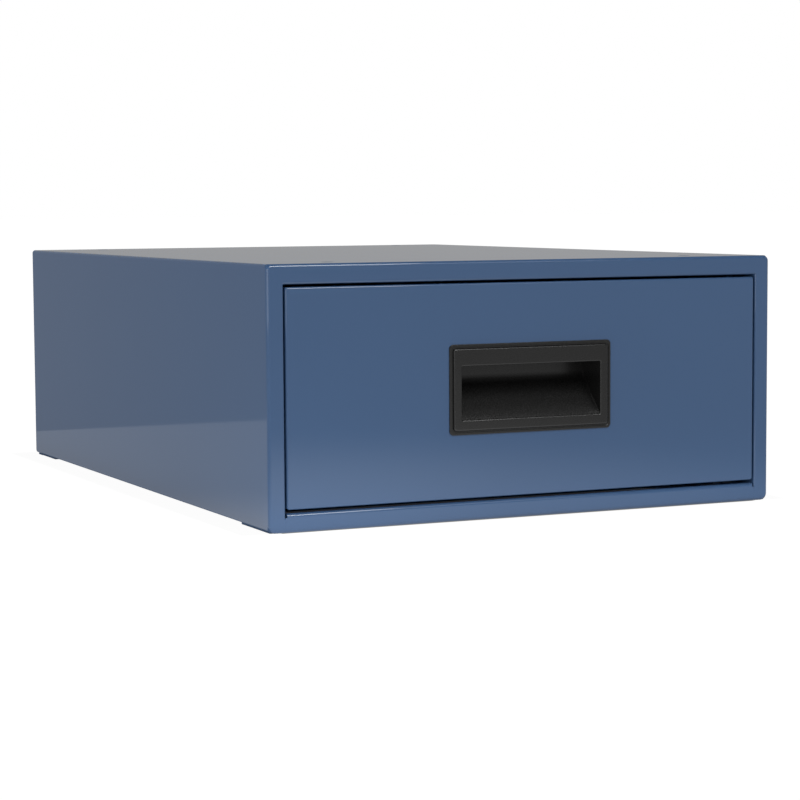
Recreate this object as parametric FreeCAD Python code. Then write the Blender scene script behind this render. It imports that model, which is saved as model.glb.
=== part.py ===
"""Steel drawer box with one inset drawer on full-extension ball-bearing slides.

Millimetres. +Z is up, the drawer opens towards -Y and +X is to the right of someone facing it.
The origin is the middle of the underside. Every function below works with y = 0 on the face
frame's front plane and +Y into the box, and save() moves its solids back to the origin.
"""

import FreeCAD, Part
import math
import os

# Whole box
WIDTH = 390.0
HEIGHT = 178.0
DEPTH = 555.0
SHEET = 1.2
FOLD_R = 2.5
LIP_FOLD_R = 1.5

# Face frame and its opening
SIDE_FRAME = 11.7
TOP_FRAME = 13.5
BOTTOM_FRAME = 13.0
LIP_DEPTH = 10.0
CORNER_RELIEF_WIDTH = 1.3
CORNER_RELIEF_HEIGHT = 2.8
LOW_CORNER_R = 5.0
LOW_CORNER_DEPTH = 3.5
LOWER_WALL = 89.0

# Underside
WALL_LOW = 2.0
WALL_REAR_R = 2.5
HEM_HEIGHT = 9.0
HEM_MARGIN = 3.0
RAIL_SHEET = 1.5
FRONT_RAIL_DEPTH = 57.0
REAR_RAIL_DEPTH = 55.0
REAR_RAIL_INSET = 2.0
RAIL_UPSTAND = 11.0
RAIL_END_HEIGHT = 16.0
RAIL_END_MARGIN = 14.0
RAIL_TAIL_MARGIN = 4.0

# Holes in the top for bolting it under a bench
TOP_HOLE_R = 4.35
TOP_HOLE_X = 140.0
TOP_HOLE_INSET = 28.0

# Back panel
BACK_FLANGE = 12.0
BACK_FIT = 0.1

# Slides: a closed slide is 12.7 thick
SLIDE_Z = 60.0
SLIDE_BACK_X = 182.3
SLIDE_START = 20.5
SLIDE_LENGTH = 500.0
OUTER_LENGTH = 510.0
SLIDE_THICKNESS = 12.7
OUTER_HALF = 22.85
MIDDLE_HALF = 17.45
INNER_HALF = 12.25
MIDDLE_SHEET = 1.0
OUTER_LIP = 9.5
MIDDLE_SETBACK = 2.4
MIDDLE_LIP = 8.6
INNER_LIP = 6.7
SLIDE_BEND_R = 2.0

# Ball cages
BALL_R = 1.8
BALL_HOLE_R = 1.9
BALLS_PER_ROW = 7
CAGE_SHEET = 0.6
CAGE_LENGTH = 240.0
CAGE_START = 150.5
CAGE_END_MARGIN = 12.0
OUTER_BALL_INSET = 6.7
INNER_BALL_INSET = 8.4

# Brackets that carry the slides
BRACKET_SHEET = 1.5
BRACKET_HALF = 28.0
BRACKET_FOOT = 10.0
BRACKET_START = 18.5
BRACKET_END = 538.0

# Fasteners
SCREW_R = 2.0
SCREW_HOLE_R = 2.1
SCREW_HEAD_R = 3.8
SCREW_LENGTH = 6.0
SCREW_STATIONS = (60.0, 270.0, 480.0)
RIVET_HEAD_R = 3.5
RIVET_HEAD = 0.8
RIVET_STATIONS = (60.0, 180.0, 480.0)
FACE_HEAD_R = 3.5
FACE_HEAD = 2.0

# Rubber blocks at the rear of the slides
BUFFER_START = 521.1
BUFFER_LENGTH = 7.0
BUFFER_HALF = 20.0
BUFFER_EDGE_R = 1.5

# Release levers
LEVER_PIVOT_Y = 255.0
LEVER_LENGTH = 38.0
LEVER_HALF = 3.5
LEVER_THICKNESS = 2.0
LEVER_GAP = 0.5
LEVER_BORE_R = 2.07
LEVER_END_R = 2.0
LEVER_WAIST_R = 6.0
LEVER_PAD_LENGTH = 8.0
LEVER_PAD_HALF = 2.0
LEVER_PAD_HEIGHT = 1.5
LEVER_PAD_MARGIN = 1.0
PIN_HEAD = 0.8

# Drawer
FACE_GAP_SIDE = 1.3
FACE_GAP_TOP = 1.8
FACE_GAP_BOTTOM = 2.4
FACE_DEPTH = 18.0
FACE_EDGE_R = 1.5
FACE_CORNER_R = 1.0
FACE_FLANGE = 22.0
FACE_FLANGE_LOW = 13.0
INNER_FRONT_TOP = 150.0
INNER_FRONT_FLANGE = 12.0
TRAY_SHEET = 1.0
TRAY_LOW = 19.0
TRAY_HIGH = 138.0
TRAY_END = 517.0
TRAY_BEND_R = 2.0
RIM_THICKNESS = 2.2
RIM_HEIGHT = 8.0
RIM_ROUND_R = 1.0
BACK_WALL_FLANGE = 12.0
FACE_SCREW_X = 162.8
FACE_SCREW_Z = (42.0, 128.0)

# Flush pull
PULL_WIDTH = 125.6
PULL_HEIGHT = 62.0
PULL_Z = 90.2
PULL_CORNER_R = 3.0
PULL_FLANGE = 0.9
PULL_PROUD = 2.3
PULL_STEP_BASE = 2.2
PULL_STEP_BASE_R = 2.4
PULL_STEP_TOP = 3.05
PULL_STEP_TOP_R = 1.8
PULL_FLANGE_EDGE_R = 0.5
PULL_RIM_EDGE_R = 0.35
PULL_MOUTH_EDGE_R = 0.6
PULL_RIM_SIDE = 5.8
PULL_RIM_TOP = 11.8
PULL_RIM_BOTTOM = 7.0
PULL_WALL = 2.0
PULL_SKIRT_INSET = 4.0
PULL_SKIRT_DEPTH = 3.0
PULL_POCKET_DEPTH = 25.5
PULL_KNEE_R = 9.0
PULL_ROOF_R = 2.0
PULL_FIT = 0.4
PULL_LUG_X = 40.0
PULL_LUG_HALF = 6.0
PULL_LUG = 1.2
PULL_LUG_GAP = 0.1

# Cutters run this far past the metal, and fused pieces this far into each other
PAST = 1.0

# Worked out from the dimensions above
FRONT_Y = (PULL_PROUD - DEPTH) / 2
HALF_W = WIDTH / 2
WALL_X = HALF_W - SHEET
OPEN_X = HALF_W - SIDE_FRAME
OPEN_LOW = BOTTOM_FRAME
OPEN_HIGH = HEIGHT - TOP_FRAME
TRAY_X = SLIDE_BACK_X - SLIDE_THICKNESS
FACE_X = OPEN_X - FACE_GAP_SIDE
FACE_LOW = OPEN_LOW + FACE_GAP_BOTTOM
FACE_HIGH = OPEN_HIGH - FACE_GAP_TOP
PULL_X = PULL_WIDTH / 2
PULL_LOW = PULL_Z - PULL_HEIGHT / 2
PULL_HIGH = PULL_Z + PULL_HEIGHT / 2
POCKET_X = PULL_X - PULL_STEP_TOP - PULL_RIM_SIDE
POCKET_LOW = PULL_LOW + PULL_STEP_TOP + PULL_RIM_BOTTOM
POCKET_HIGH = PULL_HIGH - PULL_STEP_TOP - PULL_RIM_TOP
WINDOW_X = PULL_X - PULL_SKIRT_INSET + PULL_FIT
WINDOW_LOW = PULL_LOW + PULL_SKIRT_INSET - PULL_FIT
WINDOW_HIGH = PULL_HIGH - PULL_SKIRT_INSET + PULL_FIT

# Planes that a flat outline may lie in: (first axis, second axis, direction that it is pushed)
PLANES = {
    "XZ": ((1, 0, 0), (0, 0, 1), (0, 1, 0)),
    "YZ": ((0, 1, 0), (0, 0, 1), (1, 0, 0)),
    "XY": ((1, 0, 0), (0, 1, 0), (0, 0, 1)),
}


def vector(u, v, w, plane):
    """The point that is u and v along the plane's axes and w along its normal."""
    axes = [FreeCAD.Vector(*axis) for axis in PLANES[plane]]
    return axes[0] * u + axes[1] * v + axes[2] * w


def box(x0, x1, y0, y1, z0, z1):
    """A block given by its low and high corners."""
    size = (x1 - x0, y1 - y0, z1 - z0)
    return Part.makeBox(*size, FreeCAD.Vector(x0, y0, z0))


def corner(before, here, after, radius):
    """Where a rounded corner of a flat outline begins, its middle point and where it ends."""
    point = FreeCAD.Vector(here[0], here[1], 0)
    to_before = (FreeCAD.Vector(before[0], before[1], 0) - point).normalize()
    to_after = (FreeCAD.Vector(after[0], after[1], 0) - point).normalize()
    half_angle = to_before.getAngle(to_after) / 2
    reach = radius / math.tan(half_angle)
    middle = (to_before + to_after).normalize() * (radius / math.sin(half_angle) - radius)
    return point + to_before * reach, point + middle, point + to_after * reach


def prism(points, plane, start, end):
    """Push a closed outline from start to end. A point is (u, v) or (u, v, corner radius)."""
    stations = []
    for index, here in enumerate(points):
        before = points[index - 1]
        after = points[(index + 1) % len(points)]
        radius = here[2] if len(here) > 2 else 0
        if radius:
            stations.append(corner(before, here, after, radius))
        else:
            stations.append([FreeCAD.Vector(here[0], here[1], 0)])
    edges = []
    for index, station in enumerate(stations):
        last = stations[index - 1][-1]
        if last.distanceToPoint(station[0]) > 1e-6:
            ends = [vector(p.x, p.y, start, plane) for p in (last, station[0])]
            edges.append(Part.LineSegment(*ends).toShape())
        if len(station) == 3:
            arc = [vector(p.x, p.y, start, plane) for p in station]
            edges.append(Part.Arc(*arc).toShape())
    face = Part.Face(Part.Wire(edges))
    return face.extrude(vector(0, 0, end - start, plane))


def rounded_block(half_x, y0, y1, z0, z1, radius):
    """A block centred on x = 0 whose four edges along Y are rounded."""
    outline = [
        (-half_x, z0, radius),
        (half_x, z0, radius),
        (half_x, z1, radius),
        (-half_x, z1, radius),
    ]
    return prism(outline, "XZ", y0, y1)


def folded(path, sheet, bend, plane, start, end):
    """A folded sheet: its outside line, with the material on the left of the way it runs."""
    outside = []
    inside = []
    for index, here in enumerate(path):
        point = FreeCAD.Vector(here[0], here[1], 0)
        normals = []
        for other, sign in ((index - 1, 1), (index + 1, -1)):
            if 0 <= other < len(path):
                run = (point - FreeCAD.Vector(path[other][0], path[other][1], 0)) * sign
                run.normalize()
                normals.append(FreeCAD.Vector(-run.y, run.x, 0))
        if len(normals) == 1:
            shift = normals[0] * sheet
            turn = 0
        else:
            both = normals[0] + normals[1]
            shift = both * (2 * sheet / both.dot(both))
            turn = normals[0].cross(normals[1]).z
        inner = point + shift
        if turn == 0:
            outer_r, inner_r = 0, 0
        elif turn > 0:
            outer_r, inner_r = bend, bend - sheet
        else:
            outer_r, inner_r = bend - sheet, bend
        outside.append((here[0], here[1], outer_r))
        inside.append((inner.x, inner.y, inner_r))
    return prism(outside + inside[::-1], plane, start, end)


def rod(centre, direction, radius, length):
    """A round bar."""
    return Part.makeCylinder(radius, length, FreeCAD.Vector(*centre), FreeCAD.Vector(*direction))


def mirrored(shape):
    """The same piece on the left side of the box."""
    return shape.mirror(FreeCAD.Vector(0, 0, 0), FreeCAD.Vector(1, 0, 0))


def front_edges(shape, y, inside=None):
    """Edges that lie in the plane at y; with inside, only those within that half width."""
    found = []
    for edge in shape.Edges:
        bounds = edge.BoundBox
        flat = abs(bounds.YMin - y) < 1e-4 and abs(bounds.YMax - y) < 1e-4
        near = inside is None or max(abs(bounds.XMin), abs(bounds.XMax)) <= inside + 1e-4
        if flat and near:
            found.append(edge)
    return found


def save(name, solids):
    """Write one named piece, or a group of identical ones, moved to the box's own origin."""
    shape = solids if isinstance(solids, Part.Shape) else Part.makeCompound(solids)
    moved = shape.copy()
    moved.translate(FreeCAD.Vector(0, FRONT_Y, 0))
    if not moved.isValid():
        raise ValueError(name + " is not a valid shape")
    os.makedirs("parts", exist_ok=True)
    moved.exportStep("parts/" + name + ".step")


# ---------------------------------------------------------------- cabinet

def frame_block(depth):
    """Solid block as wide and high as the box, with its front edges folded over."""
    outline = [
        (-HALF_W, 0, LOW_CORNER_R),
        (HALF_W, 0, LOW_CORNER_R),
        (HALF_W, HEIGHT, FOLD_R),
        (-HALF_W, HEIGHT, FOLD_R),
    ]
    block = prism(outline, "XZ", 0, depth)
    return block.makeFillet(FOLD_R, front_edges(block, 0))


def side_wall():
    """Right side wall behind the face corner, hemmed along its lower edge between the rails."""
    outline = [
        (LOW_CORNER_DEPTH, WALL_LOW),
        (DEPTH, WALL_LOW, WALL_REAR_R),
        (DEPTH, LOWER_WALL),
        (LOW_CORNER_DEPTH, LOWER_WALL),
    ]
    wall = prism(outline, "YZ", WALL_X, HALF_W)
    hem = box(WALL_X - SHEET, WALL_X, FRONT_RAIL_DEPTH + HEM_MARGIN,
              DEPTH - REAR_RAIL_DEPTH - HEM_MARGIN, WALL_LOW, WALL_LOW + HEM_HEIGHT)
    return wall.fuse(hem).removeSplitter()


def cabinet_shell():
    """Top and sides in one sheet, with the face flanges, their lips and hemmed lower edges."""
    block = frame_block(DEPTH)
    inner_r = FOLD_R - SHEET
    room = prism(
        [
            (-WALL_X, SHEET, LOW_CORNER_R - SHEET),
            (WALL_X, SHEET, LOW_CORNER_R - SHEET),
            (WALL_X, HEIGHT - SHEET, inner_r),
            (-WALL_X, HEIGHT - SHEET, inner_r),
        ],
        "XZ", SHEET, DEPTH + PAST)
    shell = block.cut(room)
    under = box(-HALF_W - PAST, HALF_W + PAST, LOW_CORNER_DEPTH, DEPTH + PAST, -PAST,
                LOWER_WALL / 2)
    shell = shell.cut(under)
    relief = OPEN_LOW - CORNER_RELIEF_HEIGHT
    lips = [box(-OPEN_X, OPEN_X, SHEET / 2, LIP_DEPTH, OPEN_HIGH, OPEN_HIGH + SHEET)]
    for x in (OPEN_X, -OPEN_X - SHEET):
        lips.append(box(x, x + SHEET, SHEET / 2, LIP_DEPTH, relief, OPEN_HIGH + SHEET))
    shell = shell.fuse(lips + [side_wall(), mirrored(side_wall())]).removeSplitter()
    side_round = edge_cutter(OPEN_X, 1, "XY", relief, OPEN_HIGH)
    rounds = [
        side_round,
        mirrored(side_round),
        edge_cutter(OPEN_HIGH, 1, "YZ", -OPEN_X, OPEN_X),
    ]
    opening = box(-OPEN_X, OPEN_X, -PAST, LIP_DEPTH + PAST, -PAST, OPEN_HIGH)
    holes = []
    for x in (-TOP_HOLE_X, TOP_HOLE_X):
        for y in (TOP_HOLE_INSET, DEPTH - TOP_HOLE_INSET):
            holes.append(rod((x, y, HEIGHT - FOLD_R), (0, 0, 1), TOP_HOLE_R, 2 * FOLD_R))
    return shell.cut([opening] + rounds + holes)


def edge_cutter(edge, way, plane, start, end):
    """Bar that rounds the front edge at edge over to LIP_FOLD_R; way points into the metal."""
    reach = edge + LIP_FOLD_R * way
    clear = edge - PAST * way
    outline = [
        (clear, -PAST),
        (reach, -PAST),
        (reach, 0),
        (edge, 0, LIP_FOLD_R),
        (edge, LIP_FOLD_R),
        (clear, LIP_FOLD_R),
    ]
    if plane == "YZ":
        outline = [(point[1], point[0]) + point[2:] for point in outline]
    return prism(outline, plane, start, end)


def rail_floor(y0, y1):
    """Floor of a cross rail whose ends turn up inside the two side walls."""
    path = [
        (WALL_X, RAIL_END_HEIGHT),
        (WALL_X, 0),
        (-WALL_X, 0),
        (-WALL_X, RAIL_END_HEIGHT),
    ]
    return folded(path[::-1], RAIL_SHEET, FOLD_R, "XZ", y0, y1)


def front_bottom_rail():
    """Cross rail: the lower bar of the face frame and the strip that the box stands on."""
    back = FRONT_RAIL_DEPTH
    path = [
        (LIP_DEPTH, OPEN_LOW),
        (0, OPEN_LOW),
        (0, 0),
        (back, 0),
        (back, RAIL_UPSTAND),
    ]
    rail = folded(path, RAIL_SHEET, FOLD_R, "YZ", -OPEN_X, OPEN_X)
    rail = rail.fuse(rail_floor(LOW_CORNER_DEPTH, back - FOLD_R)).removeSplitter()
    reliefs = []
    for x0 in (-OPEN_X, OPEN_X - CORNER_RELIEF_WIDTH):
        reliefs.append(box(x0, x0 + CORNER_RELIEF_WIDTH, -PAST, LIP_DEPTH + PAST,
                           OPEN_LOW - CORNER_RELIEF_HEIGHT, OPEN_LOW + PAST))
    return rail.cut(reliefs)


def rear_bottom_rail():
    """Cross rail under the rear end."""
    front = DEPTH - REAR_RAIL_DEPTH
    rear = DEPTH - REAR_RAIL_INSET
    inside = WALL_X - FOLD_R
    path = [(front, RAIL_UPSTAND), (front, 0), (rear, 0)]
    rail = folded(path, RAIL_SHEET, FOLD_R, "YZ", -inside, inside)
    end = DEPTH - RAIL_END_MARGIN
    tail = box(-WALL_X, WALL_X, end - PAST, DEPTH - RAIL_TAIL_MARGIN, 0, RAIL_SHEET)
    return rail.fuse([rail_floor(front + FOLD_R, end), tail]).removeSplitter()


def back_panel():
    """Pan that closes the rear, with its flanges turned forward inside the shell."""
    half = WALL_X - BACK_FIT
    high = HEIGHT - SHEET - BACK_FIT
    radius = FOLD_R - SHEET - BACK_FIT
    front = DEPTH - SHEET - BACK_FLANGE
    pan = rounded_block(half, front, DEPTH, RAIL_SHEET, high, radius)
    pan = pan.makeFillet(LIP_FOLD_R, front_edges(pan, DEPTH))
    room = box(SHEET - half, half - SHEET, front - PAST, DEPTH - SHEET, RAIL_SHEET + SHEET,
               high - SHEET)
    return pan.cut(room)


def slide_bracket():
    """Hat channel that carries the right slide inboard of the face flange."""
    low = SLIDE_Z - BRACKET_HALF
    high = SLIDE_Z + BRACKET_HALF
    web = SLIDE_BACK_X + BRACKET_SHEET
    path = [
        (WALL_X, low - BRACKET_FOOT),
        (WALL_X, low),
        (web, low),
        (web, high),
        (WALL_X, high),
        (WALL_X, high + BRACKET_FOOT),
    ]
    hat = folded(path, BRACKET_SHEET, FOLD_R, "XZ", BRACKET_START, BRACKET_END)
    holes = []
    for y in SCREW_STATIONS:
        holes.append(rod((SLIDE_BACK_X - PAST, y, SLIDE_Z), (1, 0, 0), SCREW_HOLE_R,
                         BRACKET_SHEET + 2 * PAST))
    return hat.cut(holes)


# ---------------------------------------------------------------- slides

def channel(back_x, half, lip, sheet, start, length, turned=1):
    """C channel of a slide. turned is 1 when its lips point to the drawer, -1 to the wall."""
    path = [
        (back_x - lip * turned, SLIDE_Z - half * turned),
        (back_x, SLIDE_Z - half * turned),
        (back_x, SLIDE_Z + half * turned),
        (back_x - lip * turned, SLIDE_Z + half * turned),
    ]
    return folded(path, sheet, SLIDE_BEND_R, "XZ", start, start + length)


def slide_outer():
    """Cabinet member of the right slide, with countersunk screw holes."""
    member = channel(SLIDE_BACK_X, OUTER_HALF, OUTER_LIP, SHEET, SLIDE_START, OUTER_LENGTH)
    holes = []
    for y in SCREW_STATIONS:
        base = FreeCAD.Vector(SLIDE_BACK_X - SHEET, y, SLIDE_Z)
        fit = SCREW_HOLE_R - SCREW_R
        holes.append(Part.makeCone(SCREW_HEAD_R + fit, SCREW_HOLE_R, SHEET, base,
                                   FreeCAD.Vector(1, 0, 0)))
    return member.cut(holes)


def slide_middle():
    """Intermediate member of the right slide."""
    back = SLIDE_BACK_X - MIDDLE_SETBACK
    return channel(back, MIDDLE_HALF, MIDDLE_LIP, MIDDLE_SHEET, SLIDE_START, SLIDE_LENGTH)


def slide_inner():
    """Drawer member of the right slide, with its rivet and lever holes."""
    member = channel(TRAY_X, INNER_HALF, INNER_LIP, SHEET, SLIDE_START, SLIDE_LENGTH, turned=-1)
    holes = []
    for y in RIVET_STATIONS + (LEVER_PIVOT_Y,):
        holes.append(rod((TRAY_X - PAST, y, SLIDE_Z), (1, 0, 0), SCREW_R, SHEET + 2 * PAST))
    return member.cut(holes)


def cage(back_x, row_z, tip_x, ball_x):
    """Ball retainer of the right slide and its two rows of balls."""
    half = row_z + CAGE_SHEET / 2
    path = [
        (tip_x, SLIDE_Z - half),
        (back_x, SLIDE_Z - half),
        (back_x, SLIDE_Z + half),
        (tip_x, SLIDE_Z + half),
    ]
    strip = folded(path, CAGE_SHEET, 2 * CAGE_SHEET, "XZ", CAGE_START, CAGE_START + CAGE_LENGTH)
    pitch = (CAGE_LENGTH - 2 * CAGE_END_MARGIN) / (BALLS_PER_ROW - 1)
    holes = []
    balls = []
    for index in range(BALLS_PER_ROW):
        y = CAGE_START + CAGE_END_MARGIN + pitch * index
        for z in (SLIDE_Z - row_z, SLIDE_Z + row_z):
            holes.append(rod((ball_x, y, z - CAGE_SHEET), (0, 0, 1), BALL_HOLE_R, 2 * CAGE_SHEET))
            balls.append(Part.makeSphere(BALL_R, FreeCAD.Vector(ball_x, y, z)))
    return strip.cut(holes), balls


def outer_cage():
    """Retainer between the cabinet member and the intermediate member."""
    back = SLIDE_BACK_X - (SHEET + MIDDLE_SETBACK) / 2 + CAGE_SHEET / 2
    row = (OUTER_HALF - SHEET + MIDDLE_HALF) / 2
    return cage(back, row, SLIDE_BACK_X - OUTER_LIP - CAGE_SHEET / 2, SLIDE_BACK_X - OUTER_BALL_INSET)


def inner_cage():
    """Retainer between the intermediate member and the drawer member."""
    web = SLIDE_BACK_X - MIDDLE_SETBACK - MIDDLE_SHEET
    tips = TRAY_X + INNER_LIP
    back = (web + tips) / 2 + CAGE_SHEET / 2
    row = (MIDDLE_HALF - MIDDLE_SHEET + INNER_HALF) / 2
    return cage(back, row, TRAY_X + SHEET + CAGE_SHEET, SLIDE_BACK_X - INNER_BALL_INSET)


def slide_buffer():
    """Rubber block in the rear end of the right cabinet member."""
    block = box(SLIDE_BACK_X - OUTER_LIP, SLIDE_BACK_X - SHEET, BUFFER_START,
                BUFFER_START + BUFFER_LENGTH, SLIDE_Z - BUFFER_HALF, SLIDE_Z + BUFFER_HALF)
    return block.makeFillet(BUFFER_EDGE_R, front_edges(block, BUFFER_START))


def bracket_screw(y):
    """Countersunk screw through the right cabinet member into its bracket."""
    base = FreeCAD.Vector(SLIDE_BACK_X - SHEET, y, SLIDE_Z)
    head = Part.makeCone(SCREW_HEAD_R, SCREW_R, SHEET, base, FreeCAD.Vector(1, 0, 0))
    shank = rod((SLIDE_BACK_X, y, SLIDE_Z), (1, 0, 0), SCREW_R, SCREW_LENGTH)
    return head.fuse(shank).removeSplitter()


def tray_rivet(y):
    """Rivet through the right drawer member and the tray's side."""
    grip = SHEET + TRAY_SHEET
    inside = TRAY_X - TRAY_SHEET
    shank = rod((inside, y, SLIDE_Z), (1, 0, 0), SCREW_R, grip)
    heads = [
        rod((inside - RIVET_HEAD, y, SLIDE_Z), (1, 0, 0), RIVET_HEAD_R, RIVET_HEAD),
        rod((inside + grip, y, SLIDE_Z), (1, 0, 0), RIVET_HEAD_R, RIVET_HEAD),
    ]
    return shank.fuse(heads).removeSplitter()


def release_lever():
    """Plastic lever on the outboard face of the right drawer member, with a finger pad."""
    x0 = TRAY_X + SHEET + LEVER_GAP
    x1 = x0 + LEVER_THICKNESS
    pivot = LEVER_PIVOT_Y
    low = SLIDE_Z - LEVER_HALF
    high = SLIDE_Z + LEVER_HALF
    tip = pivot - LEVER_LENGTH
    outline = [
        (pivot + 2 * LEVER_HALF, low, LEVER_END_R),
        (pivot + 2 * LEVER_HALF, high, LEVER_END_R),
        (tip, high, LEVER_END_R),
        (tip, low, LEVER_END_R),
        (pivot - LEVER_LENGTH / 2, SLIDE_Z - LEVER_HALF / 2, LEVER_WAIST_R),
        (pivot, low, LEVER_WAIST_R),
    ]
    lever = prism(outline, "YZ", x0, x1)
    pad_y = tip + LEVER_PAD_MARGIN
    pad = box(x1 - LEVER_THICKNESS / 2, x1 + LEVER_PAD_HEIGHT, pad_y, pad_y + LEVER_PAD_LENGTH,
              SLIDE_Z - LEVER_PAD_HALF, SLIDE_Z + LEVER_PAD_HALF)
    bore = rod((x0 - PAST, pivot, SLIDE_Z), (1, 0, 0), LEVER_BORE_R, LEVER_THICKNESS + 2 * PAST)
    return lever.fuse(pad).removeSplitter().cut(bore)


def lever_pin():
    """Rivet that the right lever turns on."""
    web_face = TRAY_X + SHEET
    length = SHEET + LEVER_THICKNESS + 2 * LEVER_GAP
    pin = rod((TRAY_X, LEVER_PIVOT_Y, SLIDE_Z), (1, 0, 0), SCREW_R, length)
    head_x = web_face + LEVER_THICKNESS + 2 * LEVER_GAP
    head = rod((head_x, LEVER_PIVOT_Y, SLIDE_Z), (1, 0, 0), RIVET_HEAD_R, PIN_HEAD)
    return pin.fuse(head).removeSplitter()


# ---------------------------------------------------------------- drawer

def drawer_front():
    """Face pan: returned edges, a screw flange behind them and the window for the pull."""
    pan = rounded_block(FACE_X, 0, FACE_DEPTH, FACE_LOW, FACE_HIGH, FACE_CORNER_R)
    pan = pan.makeFillet(FACE_EDGE_R, front_edges(pan, 0))
    low = FACE_LOW + SHEET
    high = FACE_HIGH - SHEET
    room = box(SHEET - FACE_X, FACE_X - SHEET, SHEET, FACE_DEPTH - SHEET, low, high)
    rear_x = FACE_X - SHEET - FACE_FLANGE
    rear = box(-rear_x, rear_x, SHEET, FACE_DEPTH + PAST, low + FACE_FLANGE_LOW,
               high - FACE_FLANGE_LOW)
    window = box(-WINDOW_X, WINDOW_X, -PAST, FACE_DEPTH, WINDOW_LOW, WINDOW_HIGH)
    holes = []
    for x in (-FACE_SCREW_X, FACE_SCREW_X):
        for z in FACE_SCREW_Z:
            holes.append(rod((x, FACE_DEPTH - 2 * SHEET, z), (0, 1, 0), SCREW_HOLE_R, 3 * SHEET))
    return pan.cut([room, rear, window] + holes)


def drawer_inner_front():
    """Front wall of the tray, with side flanges and a window round the pull's pocket."""
    y0 = FACE_DEPTH
    plate = box(-TRAY_X, TRAY_X, y0, y0 + SHEET, TRAY_LOW, INNER_FRONT_TOP)
    hem = box(-TRAY_X, TRAY_X, y0 + SHEET / 2, y0 + SHEET + RIM_THICKNESS,
              INNER_FRONT_TOP - RIM_HEIGHT, INNER_FRONT_TOP)
    pieces = [hem]
    wall = TRAY_X - TRAY_SHEET
    low = TRAY_LOW + TRAY_SHEET + TRAY_BEND_R
    high = TRAY_HIGH - RIM_HEIGHT
    for x in (-wall, wall - SHEET):
        pieces.append(box(x, x + SHEET, y0, y0 + SHEET + INNER_FRONT_FLANGE, low, high))
    front = plate.fuse(pieces).removeSplitter()
    cuts = [box(-WINDOW_X, WINDOW_X, y0 - PAST, y0 + 2 * SHEET, WINDOW_LOW, WINDOW_HIGH)]
    for x in (-FACE_SCREW_X, FACE_SCREW_X):
        for z in FACE_SCREW_Z:
            cuts.append(rod((x, y0 - PAST, z), (0, 1, 0), SCREW_HOLE_R, SHEET + 2 * PAST))
    return front.cut(cuts)


def drawer_tray():
    """Bottom and sides of the tray in one sheet, with hemmed rims."""
    inner = TRAY_X - TRAY_SHEET
    rim = TRAY_X - RIM_THICKNESS
    hem = TRAY_HIGH - RIM_HEIGHT
    floor = TRAY_LOW + TRAY_SHEET
    outline = [
        (-TRAY_X, TRAY_HIGH, RIM_ROUND_R),
        (-TRAY_X, TRAY_LOW, TRAY_BEND_R),
        (TRAY_X, TRAY_LOW, TRAY_BEND_R),
        (TRAY_X, TRAY_HIGH, RIM_ROUND_R),
        (rim, TRAY_HIGH, RIM_ROUND_R),
        (rim, hem),
        (inner, hem),
        (inner, floor, TRAY_BEND_R - TRAY_SHEET),
        (-inner, floor, TRAY_BEND_R - TRAY_SHEET),
        (-inner, hem),
        (-rim, hem),
        (-rim, TRAY_HIGH, RIM_ROUND_R),
    ]
    start = FACE_DEPTH + SHEET
    tray = prism(outline, "XZ", start, TRAY_END)
    outside = TRAY_X + PAST
    notch = box(-outside, outside, start - PAST, start + RIM_THICKNESS, hem, TRAY_HIGH + PAST)
    holes = []
    for y in RIVET_STATIONS:
        holes.append(rod((-outside, y, SLIDE_Z), (1, 0, 0), SCREW_R, 2 * outside))
    return tray.cut([notch] + holes)


def drawer_back():
    """Rear wall of the tray, with its flanges turned forward and a hemmed rim."""
    wall = TRAY_X - TRAY_SHEET
    floor = TRAY_LOW + TRAY_SHEET
    hem = TRAY_HIGH - RIM_HEIGHT
    y1 = TRAY_END
    plate = box(-wall, wall, y1 - TRAY_SHEET, y1, floor + TRAY_SHEET, hem)
    rim_x = TRAY_X - RIM_THICKNESS
    rim = box(-rim_x, rim_x, y1 - RIM_THICKNESS, y1, hem - PAST, TRAY_HIGH)
    pieces = [rim]
    for x in (-wall, wall - TRAY_SHEET):
        pieces.append(box(x, x + TRAY_SHEET, y1 - BACK_WALL_FLANGE, y1, floor + TRAY_BEND_R,
                          hem - PAST))
    foot = wall - TRAY_BEND_R
    pieces.append(box(-foot, foot, y1 - BACK_WALL_FLANGE, y1, floor, floor + TRAY_SHEET + PAST / 2))
    return plate.fuse(pieces).removeSplitter()


def face_screw(x, z):
    """Pan-head screw through the inner front into the face pan's flange."""
    y = FACE_DEPTH + SHEET
    shank = rod((x, y, z), (0, -1, 0), SCREW_R, SCREW_LENGTH)
    head = rod((x, y, z), (0, 1, 0), FACE_HEAD_R, FACE_HEAD)
    return shank.fuse(head).removeSplitter()


def pocket_profile(grow, front, low):
    """Side view of the pull's pocket in (y, z), with its walls grown outward; it starts at front."""
    mouth = -PULL_PROUD
    back = mouth + PULL_POCKET_DEPTH + grow
    high = POCKET_HIGH + grow
    knee = POCKET_LOW + PULL_POCKET_DEPTH - grow * math.tan(math.pi / 8)
    return [
        (front, low),
        (back, knee, PULL_KNEE_R + grow),
        (back, high, PULL_ROOF_R + grow / 2),
        (front, high),
    ]


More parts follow.
